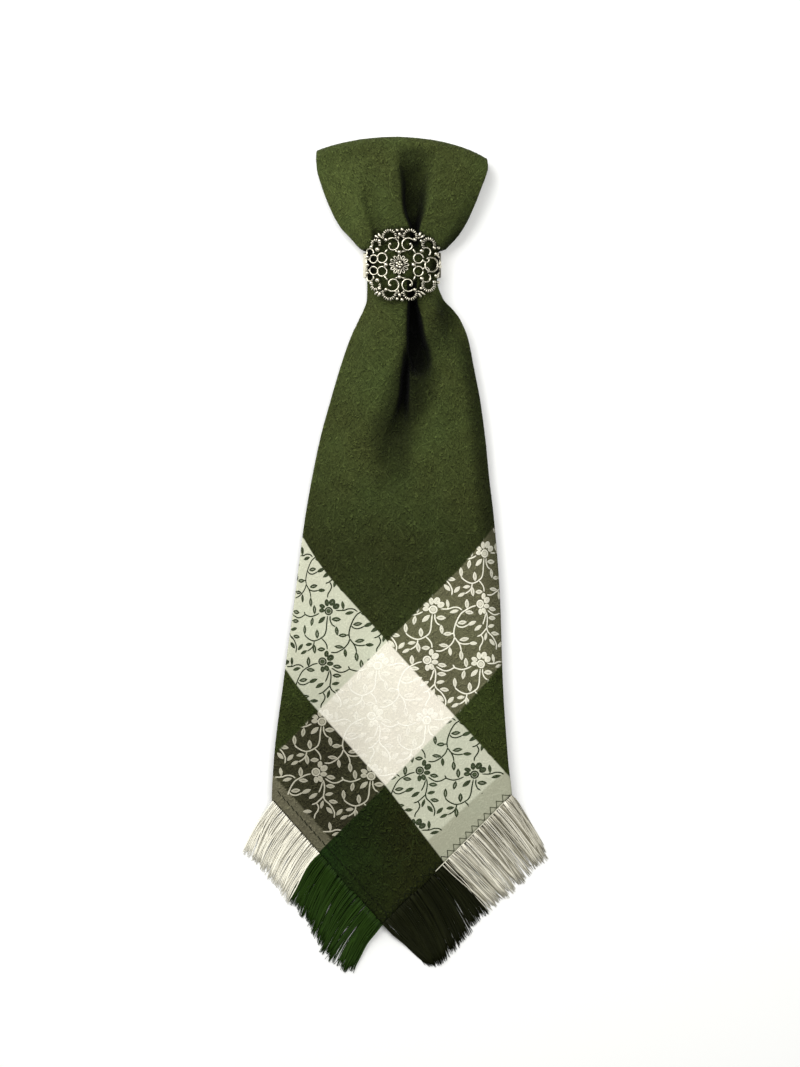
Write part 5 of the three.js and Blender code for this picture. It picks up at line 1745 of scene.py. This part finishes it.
class OBJECT_OT_kerchief_fringes(bpy.types.Operator):
    """Build the thread fringes along the hems of both tails"""

    bl_idname = "object.kerchief_fringes"
    bl_label = "Kerchief fringes"

    def execute(self, context):
        settings = context.scene.kerchief_fringe
        finishes = {
            "cream_fringe": thread_material(
                "twisted_viscose_fringe_cream", settings.cream, settings.cream_deep, 0.45, between=0.7,
            ),
            "green_fringe": thread_material(
                "twisted_viscose_fringe_green", settings.green, settings.green_deep, 0.45,
            ),
            "dark_fringe": thread_material(
                "twisted_viscose_fringe_dark", settings.dark, settings.dark_deep, 0.5,
            ),
        }
        for seed, (name, run) in enumerate(FRINGE_RUNS.items(), start=FIRST_SEED):
            height = back_hem_height if name.startswith("fringe_back") else front_hem_height
            gather = fringe_threads(run, settings, seed, height)
            fringe = gather.object(name + "_threads", [finishes[run["slot"]]], with_shade=True)
            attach(fringe, "root")
            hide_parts(name)
        return {"FINISHED"}


class OBJECT_OT_kerchief_ring(bpy.types.Operator):
    """Build the filigree ring with its plain band"""

    bl_idname = "object.kerchief_ring"
    bl_label = "Kerchief ring"

    def execute(self, context):
        settings = context.scene.kerchief_ring
        gather = Gather()
        plain_band(gather)
        rosette(gather, settings)
        silver = silver_material("antiqued_cast_silver", settings)
        ring = gather.object("scarf_ring_filigree", [silver])
        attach(ring, "root")
        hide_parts("scarf_ring")
        return {"FINISHED"}


class OBJECT_OT_kerchief_sheet(bpy.types.Operator):
    """An empty step: it states no cut size of the cloth"""

    bl_idname = "object.kerchief_sheet"
    bl_label = "Kerchief cut size"

    def execute(self, context):
        return {"FINISHED"}


class OBJECT_OT_kerchief_stage(bpy.types.Operator):
    """Add the pale floor, the camera straight above and soft lights"""

    bl_idname = "object.kerchief_stage"
    bl_label = "Kerchief stage"

    def execute(self, context):
        settings = context.scene.kerchief_stage
        # Matt uncoated paper from a roll: the eye sees only its pale tone and soft shadows, and no gloss
        paper = new_material(
            "matt_paper_floor", Base_Color=settings.floor, Roughness=0.9, Specular_IOR_Level=0.2,
        )[0]
        corners = [(x * FLOOR_HALF, y * FLOOR_HALF, 0) for x, y in ((-1, -1), (1, -1), (1, 1), (-1, 1))]
        floor = mesh_object("floor", corners, [(0, 1, 2, 3)], [paper], smooth=False)
        camera_data = bpy.data.cameras.new("camera")
        camera_data.sensor_fit = "HORIZONTAL"
        camera_data.lens = camera_data.sensor_width * settings.camera_height / settings.view_width
        camera = bpy.data.objects.new("camera", camera_data)
        camera.location = VIEW_MIDDLE + Vector((0, 0, settings.camera_height))
        context.scene.collection.objects.link(camera)
        context.scene.camera = camera
        for name, place, size, power in LIGHTS:
            light_data = bpy.data.lights.new(name, "AREA")
            light_data.shape = "RECTANGLE"
            light_data.size, light_data.size_y = size
            light_data.energy = power
            light = bpy.data.objects.new(name, light_data)
            light.location = VIEW_MIDDLE + Vector(place)
            light.rotation_euler = (-Vector(place)).to_track_quat("-Z", "Y").to_euler()
            context.scene.collection.objects.link(light)
        world = bpy.data.worlds.new("soft_studio")
        world.use_nodes = True
        background = world.node_tree.nodes["Background"]
        background.inputs["Color"].default_value = settings.room
        background.inputs["Strength"].default_value = WORLD_LIGHT
        context.scene.world = world
        context.scene.view_settings.view_transform = "Standard"
        return {"FINISHED"}


class VIEW3D_PT_kerchief(bpy.types.Panel):
    """Settings and operators of the neckerchief"""

    bl_label = "Neckerchief with ring"
    bl_idname = "VIEW3D_PT_kerchief"
    bl_space_type = "VIEW_3D"
    bl_region_type = "UI"
    bl_category = "Neckerchief"

    def draw(self, context):
        layout = self.layout
        for settings, operator in (
            (context.scene.kerchief_settings, "object.kerchief_cloth"),
            (context.scene.kerchief_fringe, "object.kerchief_fringes"),
            (context.scene.kerchief_ring, "object.kerchief_ring"),
            (None, "object.kerchief_sheet"),
            (context.scene.kerchief_stage, "object.kerchief_stage"),
        ):
            box = layout.box()
            if settings:
                for key in settings.bl_rna.properties.keys():
                    if key not in ("rna_type", "name"):
                        box.prop(settings, key)
            box.operator(operator)


GROUPS = {
    "kerchief_settings": KerchiefSettings,
    "kerchief_fringe": FringeSettings,
    "kerchief_ring": RingSettings,
    "kerchief_stage": StageSettings,
}
CLASSES = (
    *GROUPS.values(), OBJECT_OT_kerchief_cloth, OBJECT_OT_kerchief_fringes, OBJECT_OT_kerchief_ring,
    OBJECT_OT_kerchief_sheet, OBJECT_OT_kerchief_stage, VIEW3D_PT_kerchief,
)


def register():
    """Registers the classes and gives the scene its groups of settings."""
    for cls in CLASSES:
        bpy.utils.register_class(cls)
    for name, group in GROUPS.items():
        setattr(bpy.types.Scene, name, PointerProperty(type=group))


def unregister():
    """Takes back what register did."""
    for name in GROUPS:
        delattr(bpy.types.Scene, name)
    for cls in reversed(CLASSES):
        bpy.utils.unregister_class(cls)


def main():
    """Builds the neckerchief and its stage."""
    register()
    bpy.ops.object.kerchief_cloth()
    bpy.ops.object.kerchief_fringes()
    bpy.ops.object.kerchief_ring()
    bpy.ops.object.kerchief_sheet()
    bpy.ops.object.kerchief_stage()


if __name__ == "__main__":
    main()
